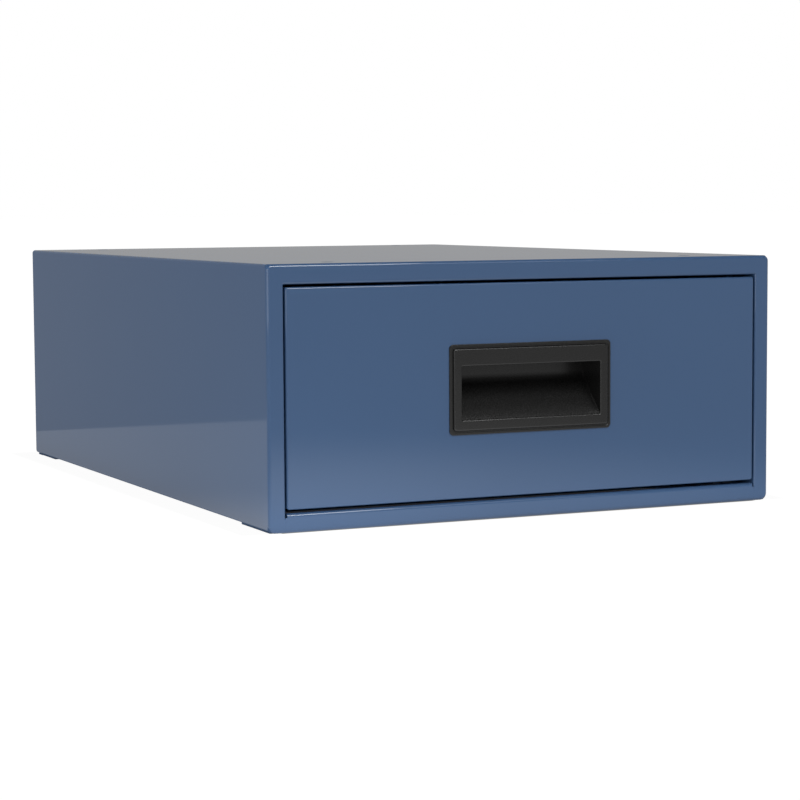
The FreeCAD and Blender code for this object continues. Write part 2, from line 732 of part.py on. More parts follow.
def pull_handle():
    """Moulded flush pull: thin flange, raised rim, sloped pocket, skirt and snap lugs."""
    flange = rounded_block(PULL_X, -PULL_FLANGE, 0, PULL_LOW, PULL_HIGH, PULL_CORNER_R)
    flange = flange.makeFillet(PULL_FLANGE_EDGE_R, front_edges(flange, -PULL_FLANGE))
    rim = raised_rim()
    skirt_x = PULL_X - PULL_SKIRT_INSET
    skirt_low = PULL_LOW + PULL_SKIRT_INSET
    skirt_high = PULL_HIGH - PULL_SKIRT_INSET
    skirt = box(-skirt_x, skirt_x, -PULL_FLANGE / 2, PULL_SKIRT_DEPTH, skirt_low, skirt_high)
    outer_low = POCKET_LOW + PULL_PROUD - PULL_WALL * (1 + math.tan(math.pi / 8))
    outer_x = POCKET_X + PULL_WALL
    pocket = prism(pocket_profile(PULL_WALL, 0, outer_low), "YZ", -outer_x, outer_x)
    body = flange.fuse([rim, skirt, pocket] + snap_lugs(skirt_low, skirt_high)).removeSplitter()
    hollow = pocket_profile(0, -PULL_PROUD, POCKET_LOW)
    past_mouth = -PULL_PROUD - PAST
    hollow = [(past_mouth, POCKET_LOW)] + hollow + [(past_mouth, POCKET_HIGH)]
    body = body.cut(prism(hollow, "YZ", -POCKET_X, POCKET_X))
    return body.makeFillet(PULL_MOUTH_EDGE_R, mouth_edges(body))


def mouth_edges(body):
    """Edges of the finger opening on the rim's front face."""
    found = []
    for edge in front_edges(body, -PULL_PROUD, POCKET_X):
        bounds = edge.BoundBox
        if bounds.ZMin >= POCKET_LOW - 1e-3 and bounds.ZMax <= POCKET_HIGH + 1e-3:
            found.append(edge)
    return found


def raised_rim():
    """Raised band on the flange: its sides draw in from PULL_STEP_BASE to PULL_STEP_TOP."""
    faces = []
    for y, inset, radius in (
        (-PULL_FLANGE / 2, PULL_STEP_BASE, PULL_STEP_BASE_R),
        (-PULL_PROUD, PULL_STEP_TOP, PULL_STEP_TOP_R),
    ):
        half = PULL_X - inset
        thin = rounded_block(half, y, y + PAST, PULL_LOW + inset, PULL_HIGH - inset, radius)
        at_y = [face for face in thin.Faces if abs(face.CenterOfMass.y - y) < 1e-6]
        faces.append(at_y[0].OuterWire)
    rim = Part.makeLoft(faces, True, True)
    return rim.makeFillet(PULL_RIM_EDGE_R, front_edges(rim, -PULL_PROUD))


def snap_lugs(low, high):
    """Wedges on the top and bottom of the skirt that spring out behind the face pan."""
    lugs = []
    for x in (-PULL_LUG_X, PULL_LUG_X):
        for z, way in ((low, -1), (high, 1)):
            inside = z - PAST * way
            catch = SHEET + PULL_LUG_GAP
            wedge = [
                (catch, inside),
                (catch, z + PULL_LUG * way),
                (PULL_SKIRT_DEPTH + PAST, z),
                (PULL_SKIRT_DEPTH, inside),
            ]
            lugs.append(prism(wedge, "YZ", x - PULL_LUG_HALF, x + PULL_LUG_HALF))
    return lugs


def save_pair(name, right):
    """Write a piece of the right side and its mirror image on the left."""
    save(name + "_right", right)
    save(name + "_left", mirrored(right))


def main():
    save("cabinet_shell", cabinet_shell())
    save("front_bottom_rail", front_bottom_rail())
    save("rear_bottom_rail", rear_bottom_rail())
    save("back_panel", back_panel())
    save_pair("slide_bracket", slide_bracket())
    save_pair("slide_outer", slide_outer())
    save_pair("slide_middle", slide_middle())
    save_pair("slide_inner", slide_inner())
    for name, (strip, balls) in (("outer", outer_cage()), ("inner", inner_cage())):
        save_pair("ball_cage_" + name, strip)
        save_pair("balls_" + name, Part.makeCompound(balls))
    right_screws = [bracket_screw(y) for y in SCREW_STATIONS]
    right_rivets = [tray_rivet(y) for y in RIVET_STATIONS]
    save("bracket_screws", right_screws + [mirrored(screw) for screw in right_screws])
    save("tray_rivets", right_rivets + [mirrored(rivet) for rivet in right_rivets])
    save("slide_buffers", [slide_buffer(), mirrored(slide_buffer())])
    save_pair("release_lever", release_lever())
    save("lever_pins", [lever_pin(), mirrored(lever_pin())])
    save("drawer_front", drawer_front())
    save("drawer_inner_front", drawer_inner_front())
    save("drawer_tray", drawer_tray())
    save("drawer_back", drawer_back())
    save("pull_handle", pull_handle())
    screws = [face_screw(x, z) for x in (-FACE_SCREW_X, FACE_SCREW_X) for z in FACE_SCREW_Z]
    save("face_screws", screws)


main()
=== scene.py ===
"""Looks of the steel drawer box: fine meshes, procedural finishes, studio stage and camera.

Metres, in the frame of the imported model: +Z up, the drawer opens towards -Y. Sizes are written
in millimetres as MM * value. FRONT is the face frame's front plane, and depths run back from it.
"""

import math

import bmesh
import bpy
from mathutils import Matrix, Vector


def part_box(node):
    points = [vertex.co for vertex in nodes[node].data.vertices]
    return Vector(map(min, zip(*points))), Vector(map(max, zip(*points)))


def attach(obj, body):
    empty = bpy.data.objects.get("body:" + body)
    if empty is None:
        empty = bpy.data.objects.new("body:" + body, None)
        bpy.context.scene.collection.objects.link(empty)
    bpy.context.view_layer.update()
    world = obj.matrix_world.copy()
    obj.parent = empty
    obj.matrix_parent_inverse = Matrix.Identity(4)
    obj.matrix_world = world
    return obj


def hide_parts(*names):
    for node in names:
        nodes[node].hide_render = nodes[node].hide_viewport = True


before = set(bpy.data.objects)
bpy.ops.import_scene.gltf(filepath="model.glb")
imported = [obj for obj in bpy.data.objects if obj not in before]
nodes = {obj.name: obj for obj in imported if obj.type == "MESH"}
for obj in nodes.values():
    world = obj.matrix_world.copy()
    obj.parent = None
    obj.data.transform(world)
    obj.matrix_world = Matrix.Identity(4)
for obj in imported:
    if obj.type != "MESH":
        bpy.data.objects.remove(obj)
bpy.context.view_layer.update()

scene = bpy.context.scene
MM = 0.001

# ---------------------------------------------------------------- sizes read from the frame

shell_low, shell_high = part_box("cabinet_shell")
face_low, face_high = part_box("drawer_front")
pull_low, pull_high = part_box("pull_handle")

FRONT = shell_low.y
BACK = shell_high.y
HALF_WIDTH = shell_high.x
HEIGHT = shell_high.z

# ---------------------------------------------------------------- sizes in millimetres

SHEET = 1.2 * MM
FOLD_R = 2.5 * MM
LIP_R = 1.5 * MM
LOW_CORNER_R = 5.0 * MM
FRAME_TOP_R = 4.0 * MM
SIDE_FRAME = 11.7 * MM
TOP_FRAME = 13.5 * MM
LIP_DEPTH = 10.0 * MM
SEAM_TOP = 10.2 * MM
WALL_LOW = 2.0 * MM
WALL_REAR_R = 2.5 * MM
HEM_HEIGHT = 9.0 * MM
HEM_FRONT = 60.0 * MM
HEM_REAR = 58.0 * MM
HEM_SUNK = 0.7 * SHEET
HEM_FOLD_R = 0.45 * SHEET
HEM_LIFT = 0.05 * MM
CORNER_DEPTH = 2.8 * MM
CORNER_FADE = 0.7 * MM
OPENING_CORNER_R = 0.5 * MM
OPENING_FOOT = 2.0 * MM
HOLE_R = 4.35 * MM
HOLE_X = 140.0 * MM
HOLE_INSET = 28.0 * MM
HOLE_CUT = 10.0 * MM

# How far sharp edges are rounded, by kind of piece
SHELL_EDGE_R = 0.25 * MM
PANEL_EDGE_R = 0.2 * MM
SLIDE_EDGE_R = 0.15 * MM
CAGE_EDGE_R = 0.08 * MM
LEVER_EDGE_R = 0.35 * MM
BUFFER_EDGE_R = 0.5 * MM

ARC_STEPS = 8
FADE_STEPS = 4
LEAST_R = 0.02 * MM
SAME_POINT = 0.002 * MM
POINT_GAP = 0.01 * MM


# ---------------------------------------------------------------- mesh helpers

def new_object(name, mesh):
    obj = bpy.data.objects.new(name, mesh)
    scene.collection.objects.link(obj)
    return obj


def mesh_from(name, vertices, faces):
    """Object from points and faces, with its normals made to point outward."""
    mesh = bpy.data.meshes.new(name)
    mesh.from_pydata([tuple(v) for v in vertices], [], faces)
    bm = bmesh.new()
    bm.from_mesh(mesh)
    bmesh.ops.recalc_face_normals(bm, faces=bm.faces)
    bm.to_mesh(mesh)
    bm.free()
    return new_object(name, mesh)


def apply_modifiers(obj):
    """Bake an object's modifiers into its mesh."""
    bpy.context.view_layer.update()
    evaluated = obj.evaluated_get(bpy.context.evaluated_depsgraph_get())
    mesh = bpy.data.meshes.new_from_object(evaluated)
    obj.modifiers.clear()
    obj.data = mesh


def shade(obj, sharp_angle=35):
    """Smooth shading that breaks at edges sharper than the angle and keeps flat faces flat."""
    obj.data.polygons.foreach_set("use_smooth", [True] * len(obj.data.polygons))
    obj.data.set_sharp_from_angle(angle=math.radians(sharp_angle))
    weighted = obj.modifiers.new("flat_faces", "WEIGHTED_NORMAL")
    weighted.mode = "FACE_AREA"
    weighted.weight = 100
    weighted.keep_sharp = True
    apply_modifiers(obj)


def soften(obj, width, segments=2, angle=40):
    """Round an object's sharp edges a little, as paint, plating or moulding leaves them."""
    bevel = obj.modifiers.new("soft_edges", "BEVEL")
    bevel.width = width
    bevel.segments = segments
    bevel.limit_method = "ANGLE"
    bevel.angle_limit = math.radians(angle)
    bevel.use_clamp_overlap = True
    bevel.miter_outer = "MITER_ARC"
    apply_modifiers(obj)
    shade(obj)
    return obj


def finished(obj, node, material, body):
    """Give a piece its material and make it stand for a CAD node, moving with the body."""
    obj.data.materials.clear()
    obj.data.materials.append(material)
    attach(obj, body)
    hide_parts(node)
    return obj


def quarter_arc(steps=ARC_STEPS):
    """Angles from 0 to a quarter turn."""
    return [math.pi / 2 * i / steps for i in range(steps + 1)]


def bridge_rings(rings, closed_rings=True, closed_loop=False):
    """Quads between neighbouring rings of equally many points. Returns points and faces."""
    count = len(rings[0])
    points = [p for ring in rings for p in ring]
    faces = []
    pairs = len(rings) if closed_loop else len(rings) - 1
    spans = count if closed_rings else count - 1
    for i in range(pairs):
        a = i * count
        b = (i + 1) % len(rings) * count
        for j in range(spans):
            k = (j + 1) % count
            faces.append((a + j, a + k, b + k, b + j))
    return points, faces


def extruded(name, outline, y0, y1):
    """Solid with the same (x, z) outline from y0 to y1."""
    rings = [[Vector((x, y, z)) for x, z in outline] for y in (y0, y1)]
    points, faces = bridge_rings(rings)
    count = len(outline)
    faces.append(tuple(range(count)))
    faces.append(tuple(range(count, 2 * count)))
    return mesh_from(name, points, faces)


def lathe(name, profile, segments=36):
    """Solid turned about the Z axis from a line of (radius, z) that starts and ends on it."""
    points = []
    for radius, z in profile[1:-1]:
        for i in range(segments):
            a = math.tau * i / segments
            points.append((radius * math.cos(a), radius * math.sin(a), z))
    rings = len(profile) - 2
    faces = []
    for i in range(rings - 1):
        for j in range(segments):
            k = (j + 1) % segments
            a = i * segments
            b = a + segments
            faces.append((a + j, a + k, b + k, b + j))
    ends = len(points)
    points += [(0, 0, profile[0][1]), (0, 0, profile[-1][1])]
    last = (rings - 1) * segments
    for j in range(segments):
        k = (j + 1) % segments
        faces.append((ends, k, j))
        faces.append((ends + 1, last + j, last + k))
    return mesh_from(name, points, faces)


def repeated(name, source, places):
    """One object made of copies of the source, each moved by its own matrix."""
    bm = bmesh.new()
    for place in places:
        mesh = source.data.copy()
        mesh.transform(place)
        bm.from_mesh(mesh)
        bpy.data.meshes.remove(mesh)
    mesh = bpy.data.meshes.new(name)
    bm.to_mesh(mesh)
    bm.free()
    bpy.data.objects.remove(source)
    return new_object(name, mesh)


def aimed(point, direction):
    """Matrix that moves the origin to the point and turns +Z to the direction."""
    turn = Vector(direction).to_track_quat("Z", "Y").to_matrix().to_4x4()
    return Matrix.Translation(Vector(point)) @ turn


def rounded_rectangle(half_x, low, high, radius, y):
    """Ring of points in a plane of constant y, starting at the lower right corner."""
    r = max(radius, LEAST_R)
    centres = (
        (half_x - r, low + r, -math.pi / 2),
        (half_x - r, high - r, 0.0),
        (-half_x + r, high - r, math.pi / 2),
        (-half_x + r, low + r, math.pi),
    )
    ring = []
    for x, z, start in centres:
        for a in quarter_arc():
            ring.append(Vector((x + r * math.cos(start + a), y, z + r * math.sin(start + a))))
    return ring


def cleaned_copy(name, node):
    """A new piece from a CAD node's shape, with its flat faces joined up."""
    mesh = bpy.data.meshes.new(name)
    bm = bmesh.new()
    bm.from_mesh(nodes[node].data)
    bmesh.ops.remove_doubles(bm, verts=bm.verts, dist=SAME_POINT)
    bmesh.ops.dissolve_limit(bm, angle_limit=math.radians(0.5), verts=bm.verts, edges=bm.edges)
    bm.to_mesh(mesh)
    bm.free()
    return new_object(name, mesh)


# ---------------------------------------------------------------- materials

class Finish:
    """A material being built: its node tree, its shader and its object coordinates."""

    def __init__(self, name, color, roughness, metallic=0.0):
        self.material = bpy.data.materials.new(name)
        self.material.use_nodes = True
        self.tree = self.material.node_tree
        self.shader = self.tree.nodes["Principled BSDF"]
        self.shader.inputs["Base Color"].default_value = (*color, 1)
        self.shader.inputs["Roughness"].default_value = roughness
        self.shader.inputs["Metallic"].default_value = metallic
        self.color = color
        self.place = self.tree.nodes.new("ShaderNodeTexCoord").outputs["Object"]

    def node(self, kind, **settings):
        made = self.tree.nodes.new(kind)
        for key, value in settings.items():
            setattr(made, key, value)
        return made

    def link(self, a, b):
        self.tree.links.new(a, b)

    def stretched(self, scale):
        """Object coordinates scaled by (x, y, z)."""
        mapping = self.node("ShaderNodeMapping")
        mapping.inputs["Scale"].default_value = scale
        self.link(self.place, mapping.inputs["Vector"])
        return mapping.outputs["Vector"]

    def noise(self, scale, detail=2.0, vector=None):
        """Grey noise; scale is features per metre."""
        made = self.node("ShaderNodeTexNoise")
        made.inputs["Scale"].default_value = scale
        made.inputs["Detail"].default_value = detail
        self.link(vector or self.place, made.inputs["Vector"])
        return made.outputs["Fac"]

    def cells(self, scale):
        """A random grey for each cell of a Voronoi pattern."""
        made = self.node("ShaderNodeTexVoronoi")
        made.inputs["Scale"].default_value = scale
        self.link(self.place, made.inputs["Vector"])
        grey = self.node("ShaderNodeSeparateColor")
        self.link(made.outputs["Color"], grey.inputs["Color"])
        return grey.outputs["Red"]

    def spread(self, value, low, high):
        """Map a grey from 0.3-0.7 to low-high."""
        made = self.node("ShaderNodeMapRange")
        made.inputs["From Min"].default_value = 0.3
        made.inputs["From Max"].default_value = 0.7
        made.inputs["To Min"].default_value = low
        made.inputs["To Max"].default_value = high
        self.link(value, made.inputs["Value"])
        return made.outputs["Result"]

    def vary_color(self, value, other):
        """Blend the base colour towards another one by a grey."""
        mix = self.node("ShaderNodeMix", data_type="RGBA")
        mix.inputs["A"].default_value = (*self.color, 1)
        mix.inputs["B"].default_value = (*other, 1)
        self.link(value, mix.inputs["Factor"])
        self.link(mix.outputs["Result"], self.shader.inputs["Base Color"])

    def vary_roughness(self, value, low, high):
        """Roughness from low to high by a grey."""
        self.link(self.spread(value, low, high), self.shader.inputs["Roughness"])

    def bump(self, value, height):
        """Relief of the given height in metres."""
        made = self.node("ShaderNodeBump")
        made.inputs["Strength"].default_value = 1.0
        made.inputs["Distance"].default_value = height
        self.link(value, made.inputs["Height"])
        self.link(made.outputs["Normal"], self.shader.inputs["Normal"])


def powder_coat(name, color, peel):
    """Gloss powder coat: a clear skin with a light orange peel over an even pigment."""
    finish = Finish(name, color, 0.5)
    finish.vary_color(finish.noise(9.0, 3.0), tuple(c * 0.95 for c in color))
    finish.vary_roughness(finish.noise(900.0), 0.45, 0.55)
    finish.bump(finish.noise(300.0, 1.0), peel)
    finish.shader.inputs["Specular IOR Level"].default_value = 0.0
    finish.shader.inputs["Coat Weight"].default_value = 1.0
    finish.shader.inputs["Coat Roughness"].default_value = 0.05
    finish.shader.inputs["Coat IOR"].default_value = 1.5
    return finish.material


def moulded_plastic(name, color, roughness, grain):
    """Black plastic with the fine grain of an eroded mould."""
    finish = Finish(name, color, roughness)
    finish.vary_color(finish.noise(60.0, 4.0), tuple(c * 1.35 for c in color))
    finish.vary_roughness(finish.noise(2500.0, 3.0), roughness - 0.06, roughness + 0.08)
    finish.bump(finish.noise(3200.0, 3.0), grain)
    return finish.material


def plated_steel(name, color, roughness, streak=True):
    """Zinc plate over rolled steel: faint lines along the rolling direction and soft clouds."""
    finish = Finish(name, color, roughness, metallic=1.0)
    clouds = finish.noise(35.0, 4.0)
    finish.vary_color(clouds, tuple(c * 0.86 for c in color))
    lines = finish.stretched((1.0, 0.02, 1.0)) if streak else None
    rolled = finish.noise(2600.0, 2.0, lines)
    finish.vary_roughness(rolled, roughness - 0.07, roughness + 0.1)
    finish.bump(rolled, 0.002 * MM)
    return finish.material


def galvanised_steel(name, color):
    """Hot-dip zinc with its spangle of pale and grey crystals."""
    finish = Finish(name, color, 0.4, metallic=1.0)
    spangle = finish.cells(180.0)
    finish.vary_color(spangle, tuple(c * 0.72 for c in color))
    finish.vary_roughness(spangle, 0.32, 0.5)
    finish.bump(finish.noise(700.0, 2.0), 0.004 * MM)
    return finish.material


def polished_steel(name, color):
    """Ground and polished steel, as bearing balls have."""
    finish = Finish(name, color, 0.1, metallic=1.0)
    finish.vary_roughness(finish.noise(3000.0, 2.0), 0.06, 0.14)
    finish.bump(finish.noise(5000.0, 2.0), 0.0003 * MM)
    return finish.material


def rubber(name, color):
    """Dull moulded rubber with a coarse grain."""
    finish = Finish(name, color, 0.75)
    finish.vary_color(finish.noise(120.0, 4.0), tuple(c * 1.6 for c in color))
    finish.vary_roughness(finish.noise(1500.0, 3.0), 0.65, 0.85)
    finish.bump(finish.noise(1800.0, 4.0), 0.02 * MM)
    return finish.material


BLUE = (0.051, 0.104, 0.213)
MATERIALS = {
    "blue_powder_coat": powder_coat("blue_powder_coat", BLUE, 0.0004 * MM),
    "tray_powder_coat": powder_coat("tray_powder_coat", BLUE, 0.0006 * MM),
    "black_abs": moulded_plastic("black_abs", (0.0055, 0.0055, 0.0054), 0.27, 0.003 * MM),
    "bracket_steel": galvanised_steel("bracket_steel", (0.62, 0.63, 0.64)),
    "zinc_plate": plated_steel("zinc_plate", (0.68, 0.69, 0.71), 0.28),
    "cage_steel": plated_steel("cage_steel", (0.58, 0.58, 0.56), 0.34),
    "ball_steel": polished_steel("ball_steel", (0.74, 0.74, 0.75)),
    "lever_plastic": moulded_plastic("lever_plastic", (0.014, 0.014, 0.014), 0.38, 0.004 * MM),
    "fastener_zinc": plated_steel("fastener_zinc", (0.66, 0.66, 0.63), 0.3, streak=False),
    "buffer_rubber": rubber("buffer_rubber", (0.012, 0.012, 0.012)),
}


# ---------------------------------------------------------------- cabinet shell

def wall_section(inset, y, fade, wall_low=WALL_LOW):
    """Shell section at a depth: open line up the left wall, over the top and down the right.

    Where fade is 1 the line starts under the rounded lower corner, at the seam with the cross
    rail. Where it is 0 the line starts at the plain lower edge of the wall.
    """
    x = HALF_WIDTH - inset
    seam_x = HALF_WIDTH - SIDE_FRAME
    low_r = LOW_CORNER_R - inset
    top_r = FOLD_R + (FRAME_TOP_R - FOLD_R) * fade - inset
    right = [(seam_x, inset)]
    for a in quarter_arc():
        right.append((x - low_r + low_r * math.sin(a), inset + low_r - low_r * math.cos(a)))
    plain_top = LOW_CORNER_R + inset
    steps = len(right) - 1
    plain = [(x, wall_low + (plain_top - wall_low) * i / steps) for i in range(steps + 1)]
    right = [
        (p[0] * (1 - fade) + c[0] * fade, p[1] * (1 - fade) + c[1] * fade)
        for p, c in zip(plain, right)
    ]
    top = HEIGHT - inset
    for a in quarter_arc():
        right.append((x - top_r + top_r * math.cos(a), top - top_r + top_r * math.sin(a)))
    return both_sides(right, y)


def opening_section(outset, y):
    """The same line round the drawer opening, outset from its edge."""
    seam_x = HALF_WIDTH - SIDE_FRAME
    x = seam_x + outset
    top = HEIGHT - TOP_FRAME + outset
    r = OPENING_CORNER_R + outset
    right = [(seam_x, SEAM_TOP - outset)]
    for a in quarter_arc():
        rise = (outset + OPENING_FOOT) * (1 - math.cos(a)) + POINT_GAP
        right.append((seam_x + outset * math.sin(a), SEAM_TOP - outset + rise))
    for a in quarter_arc():
        right.append((x - r + r * math.cos(a), top - r + r * math.sin(a)))
    return both_sides(right, y)


def both_sides(right, y):
    """Mirror the right half of a section and join it to the left half."""
    left = [(-x, z) for x, z in reversed(right)]
    return [Vector((x, FRONT + y, z)) for x, z in right + left]


def shell_skin(gauge):
    """Sections of one face of the sheet: gauge is 0 outside and the sheet's thickness inside."""
    depth = BACK - FRONT
    sections = []
    for a in quarter_arc():
        rise = WALL_REAR_R * (1 - math.sin(a))
        sections.append(wall_section(gauge, depth - WALL_REAR_R * (1 - math.cos(a)), 0,
                                     WALL_LOW + rise))
    sections += [
        wall_section(gauge, depth / 2, 0),
        wall_section(gauge, CORNER_DEPTH + CORNER_FADE, 0),
    ]
    for i in range(1, FADE_STEPS + 1):
        fade = i / FADE_STEPS
        sections.append(wall_section(gauge, CORNER_DEPTH + CORNER_FADE * (1 - fade), fade))
    r = FOLD_R - gauge
    for a in quarter_arc():
        sections.append(wall_section(FOLD_R - r * math.cos(a), FOLD_R - r * math.sin(a), 1))
    r = LIP_R - gauge
    for a in quarter_arc():
        sections.append(opening_section(LIP_R - r * math.sin(a), LIP_R - r * math.cos(a)))
    sections.append(opening_section(gauge, LIP_DEPTH))
    return sections


def thick_grid(outer, inner):
    """Closed solid between two grids of sections with the same layout."""
    rows = len(outer)
    count = len(outer[0])
    points, faces = bridge_rings(outer, closed_rings=False)
    more, inner_faces = bridge_rings(inner, closed_rings=False)
    shift = len(points)
    points += more
    faces += [tuple(shift + i for i in reversed(face)) for face in inner_faces]
    border = [(0, j) for j in range(count)]
    border += [(i, count - 1) for i in range(1, rows)]
    border += [(rows - 1, j) for j in range(count - 2, -1, -1)]
    border += [(i, 0) for i in range(rows - 2, 0, -1)]
    for index, (i, j) in enumerate(border):
        k, m = border[(index + 1) % len(border)]
        a = i * count + j
        b = k * count + m
        faces.append((a, b, shift + b, shift + a))
    return points, faces


def top_hole_cutter():
    """Four upright round bars where the top is drilled."""
    bm = bmesh.new()
    for x in (-HOLE_X, HOLE_X):
        for y in (FRONT + HOLE_INSET, BACK - HOLE_INSET):
            place = Matrix.Translation((x, y, HEIGHT))
            bmesh.ops.create_cone(bm, cap_ends=True, segments=48, radius1=HOLE_R,
                                  radius2=HOLE_R, depth=HOLE_CUT, matrix=place)
    mesh = bpy.data.meshes.new("hole_cutter")
    bm.to_mesh(mesh)
    bm.free()
    return new_object("hole_cutter", mesh)


def combine(obj, other, operation):
    """Cut the other object from this one, or join it on, then throw the other away."""
    step = obj.modifiers.new("combine", "BOOLEAN")
    step.object = other
    step.operation = operation
    step.solver = "EXACT"
    apply_modifiers(obj)
    bpy.data.objects.remove(other)


def hem(side):
    """Folded-in strip along the lower edge of one side wall, round at its fold.

    Its outer face lies within the wall's sheet, so that the two join into one solid.
    """
    outside = HALF_WIDTH - HEM_SUNK
    inside = HALF_WIDTH - 2 * SHEET
    low = WALL_LOW + HEM_LIFT
    high = WALL_LOW + HEM_HEIGHT
    r = HEM_FOLD_R
    line = [(outside, low), (outside, high), (inside, high)]
    for a in quarter_arc(5):
        line.append((inside + r * (1 - math.cos(a)), low + r * (1 - math.sin(a))))
    return extruded("hem", [(side * x, z) for x, z in line], FRONT + HEM_FRONT, BACK - HEM_REAR)


def cabinet_shell():
    """The folded sheet with its drilled top and the hems along its lower edges."""
    points, faces = thick_grid(shell_skin(0.0), shell_skin(SHEET))
    shell = mesh_from("shell", points, faces)
    combine(shell, top_hole_cutter(), "DIFFERENCE")
    for side in (1, -1):
        combine(shell, hem(side), "UNION")
    soften(shell, SHELL_EDGE_R)
    return finished(shell, "cabinet_shell", MATERIALS["blue_powder_coat"],
                    "cabinet")


# ---------------------------------------------------------------- drawer front

FACE_EDGE_R = 1.5 * MM
FACE_CORNER_R = 1.8 * MM
FACE_INSIDE_R = 0.6 * MM
FACE_HOLE_R = 1.0 * MM
FACE_FLANGE = 22.0 * MM
FACE_FLANGE_LOW = 13.0 * MM
WINDOW_INSET = 3.6 * MM


def drawer_front():
    """Pressed face pan: rounded front edges, returned sides, rear flange and the pull's window."""
    half = face_high.x
    low, high = face_low.z, face_high.z
    y0, y1 = face_low.y, face_high.y
    window = (pull_high.x - WINDOW_INSET, pull_low.z + WINDOW_INSET, pull_high.z - WINDOW_INSET)

    def ring(inset, y, radius):
        return rounded_rectangle(half - inset, low + inset, high - inset, radius, y)

    def window_ring(y):
        return rounded_rectangle(*window, FACE_HOLE_R, y)

    def flange_ring(y):
        return rounded_rectangle(half - SHEET - FACE_FLANGE, low + SHEET + FACE_FLANGE_LOW,
                                 high - SHEET - FACE_FLANGE_LOW, FACE_HOLE_R, y)

    rings = [window_ring(y0)]
    for a in quarter_arc():
        inset = FACE_EDGE_R * (1 - math.sin(a))
        y = y0 + FACE_EDGE_R * (1 - math.cos(a))
        rings.append(ring(inset, y, FACE_CORNER_R - inset))
    for a in quarter_arc():
        inset = FACE_EDGE_R * (1 - math.cos(a))
        y = y1 - FACE_EDGE_R * (1 - math.sin(a))
        rings.append(ring(inset, y, FACE_CORNER_R - inset))
    rings.append(flange_ring(y1))
    rings.append(flange_ring(y1 - SHEET))
    rings.append(ring(SHEET, y1 - SHEET, FACE_INSIDE_R))
    rings.append(ring(SHEET, y0 + SHEET, FACE_INSIDE_R))
    rings.append(window_ring(y0 + SHEET))
    points, faces = bridge_rings(rings, closed_loop=True)
    front = mesh_from("face_pan", points, faces)
    soften(front, PANEL_EDGE_R)
    return finished(front, "drawer_front", MATERIALS["blue_powder_coat"],
                    "drawer")


# ---------------------------------------------------------------- pull handle

PULL_CORNER_R = 3.0 * MM
PULL_PROUD = 2.3 * MM
PULL_FLANGE = 0.9 * MM
FLANGE_EDGE_R = 0.35 * MM
GROOVE_OUT = 1.7 * MM
GROOVE_IN = 2.65 * MM
GROOVE_DEPTH = 0.5 * MM
GROOVE_EDGE = 0.1 * MM
GROOVE_SLOPE = 0.05 * MM
GROOVE_CORNER_R = 2.4 * MM
STEP_TOP = 3.05 * MM
RIM_INSET = 2.9 * MM
RIM_EDGE_R = 1.1 * MM
RIM_CORNER_R = 1.8 * MM
MOUTH_EDGE_R = 1.0 * MM
MOUTH_CORNER_R = 0.7 * MM
MOUTH_SILL_SLOPE = 0.4
RIM_SIDE = 5.8 * MM
RIM_TOP = 11.8 * MM
RIM_BOTTOM = 7.0 * MM
PULL_WALL = 2.0 * MM
SKIRT_INSET = 4.0 * MM
SKIRT_DEPTH = 3.0 * MM
SKIRT_EDGE = 0.3 * MM
SKIRT_CORNER_R = 1.0 * MM
POCKET_DEPTH = 25.5 * MM
POCKET_KNEE_R = 9.0 * MM
POCKET_OUTER_R = 2.0 * MM
LUG_X = 40.0 * MM
LUG_HALF = 6.0 * MM
LUG_RISE = 1.2 * MM
LUG_GAP = 0.1 * MM
LUG_CREST = 0.3 * MM
LUG_TOE = 0.15 * MM
LUG_SUNK = 0.6 * MM
LUG_SHORT = 0.05 * MM


def pocket_floor(grow, steps=10):
    """Side line of the pocket's floor as (depth, height): a 45 degree slope, then a bend up."""
    low = pull_low.z + STEP_TOP + RIM_BOTTOM
    radius = POCKET_KNEE_R + grow
    back = POCKET_DEPTH + grow
    # The slope passes depth 0 at this height; growing the pocket moves it down and back.
    start = low - grow * math.sqrt(2)
    tangent = radius * math.tan(math.pi / 8)
    knee_z = start + back
    centre = (back - radius, knee_z + tangent)
    line = []
    for i in range(steps + 1):
        a = math.pi / 4 * i / steps
        line.append((centre[0] + radius * math.sin(math.pi / 4 + a),
                     centre[1] - radius * math.cos(math.pi / 4 + a)))
    return start, line


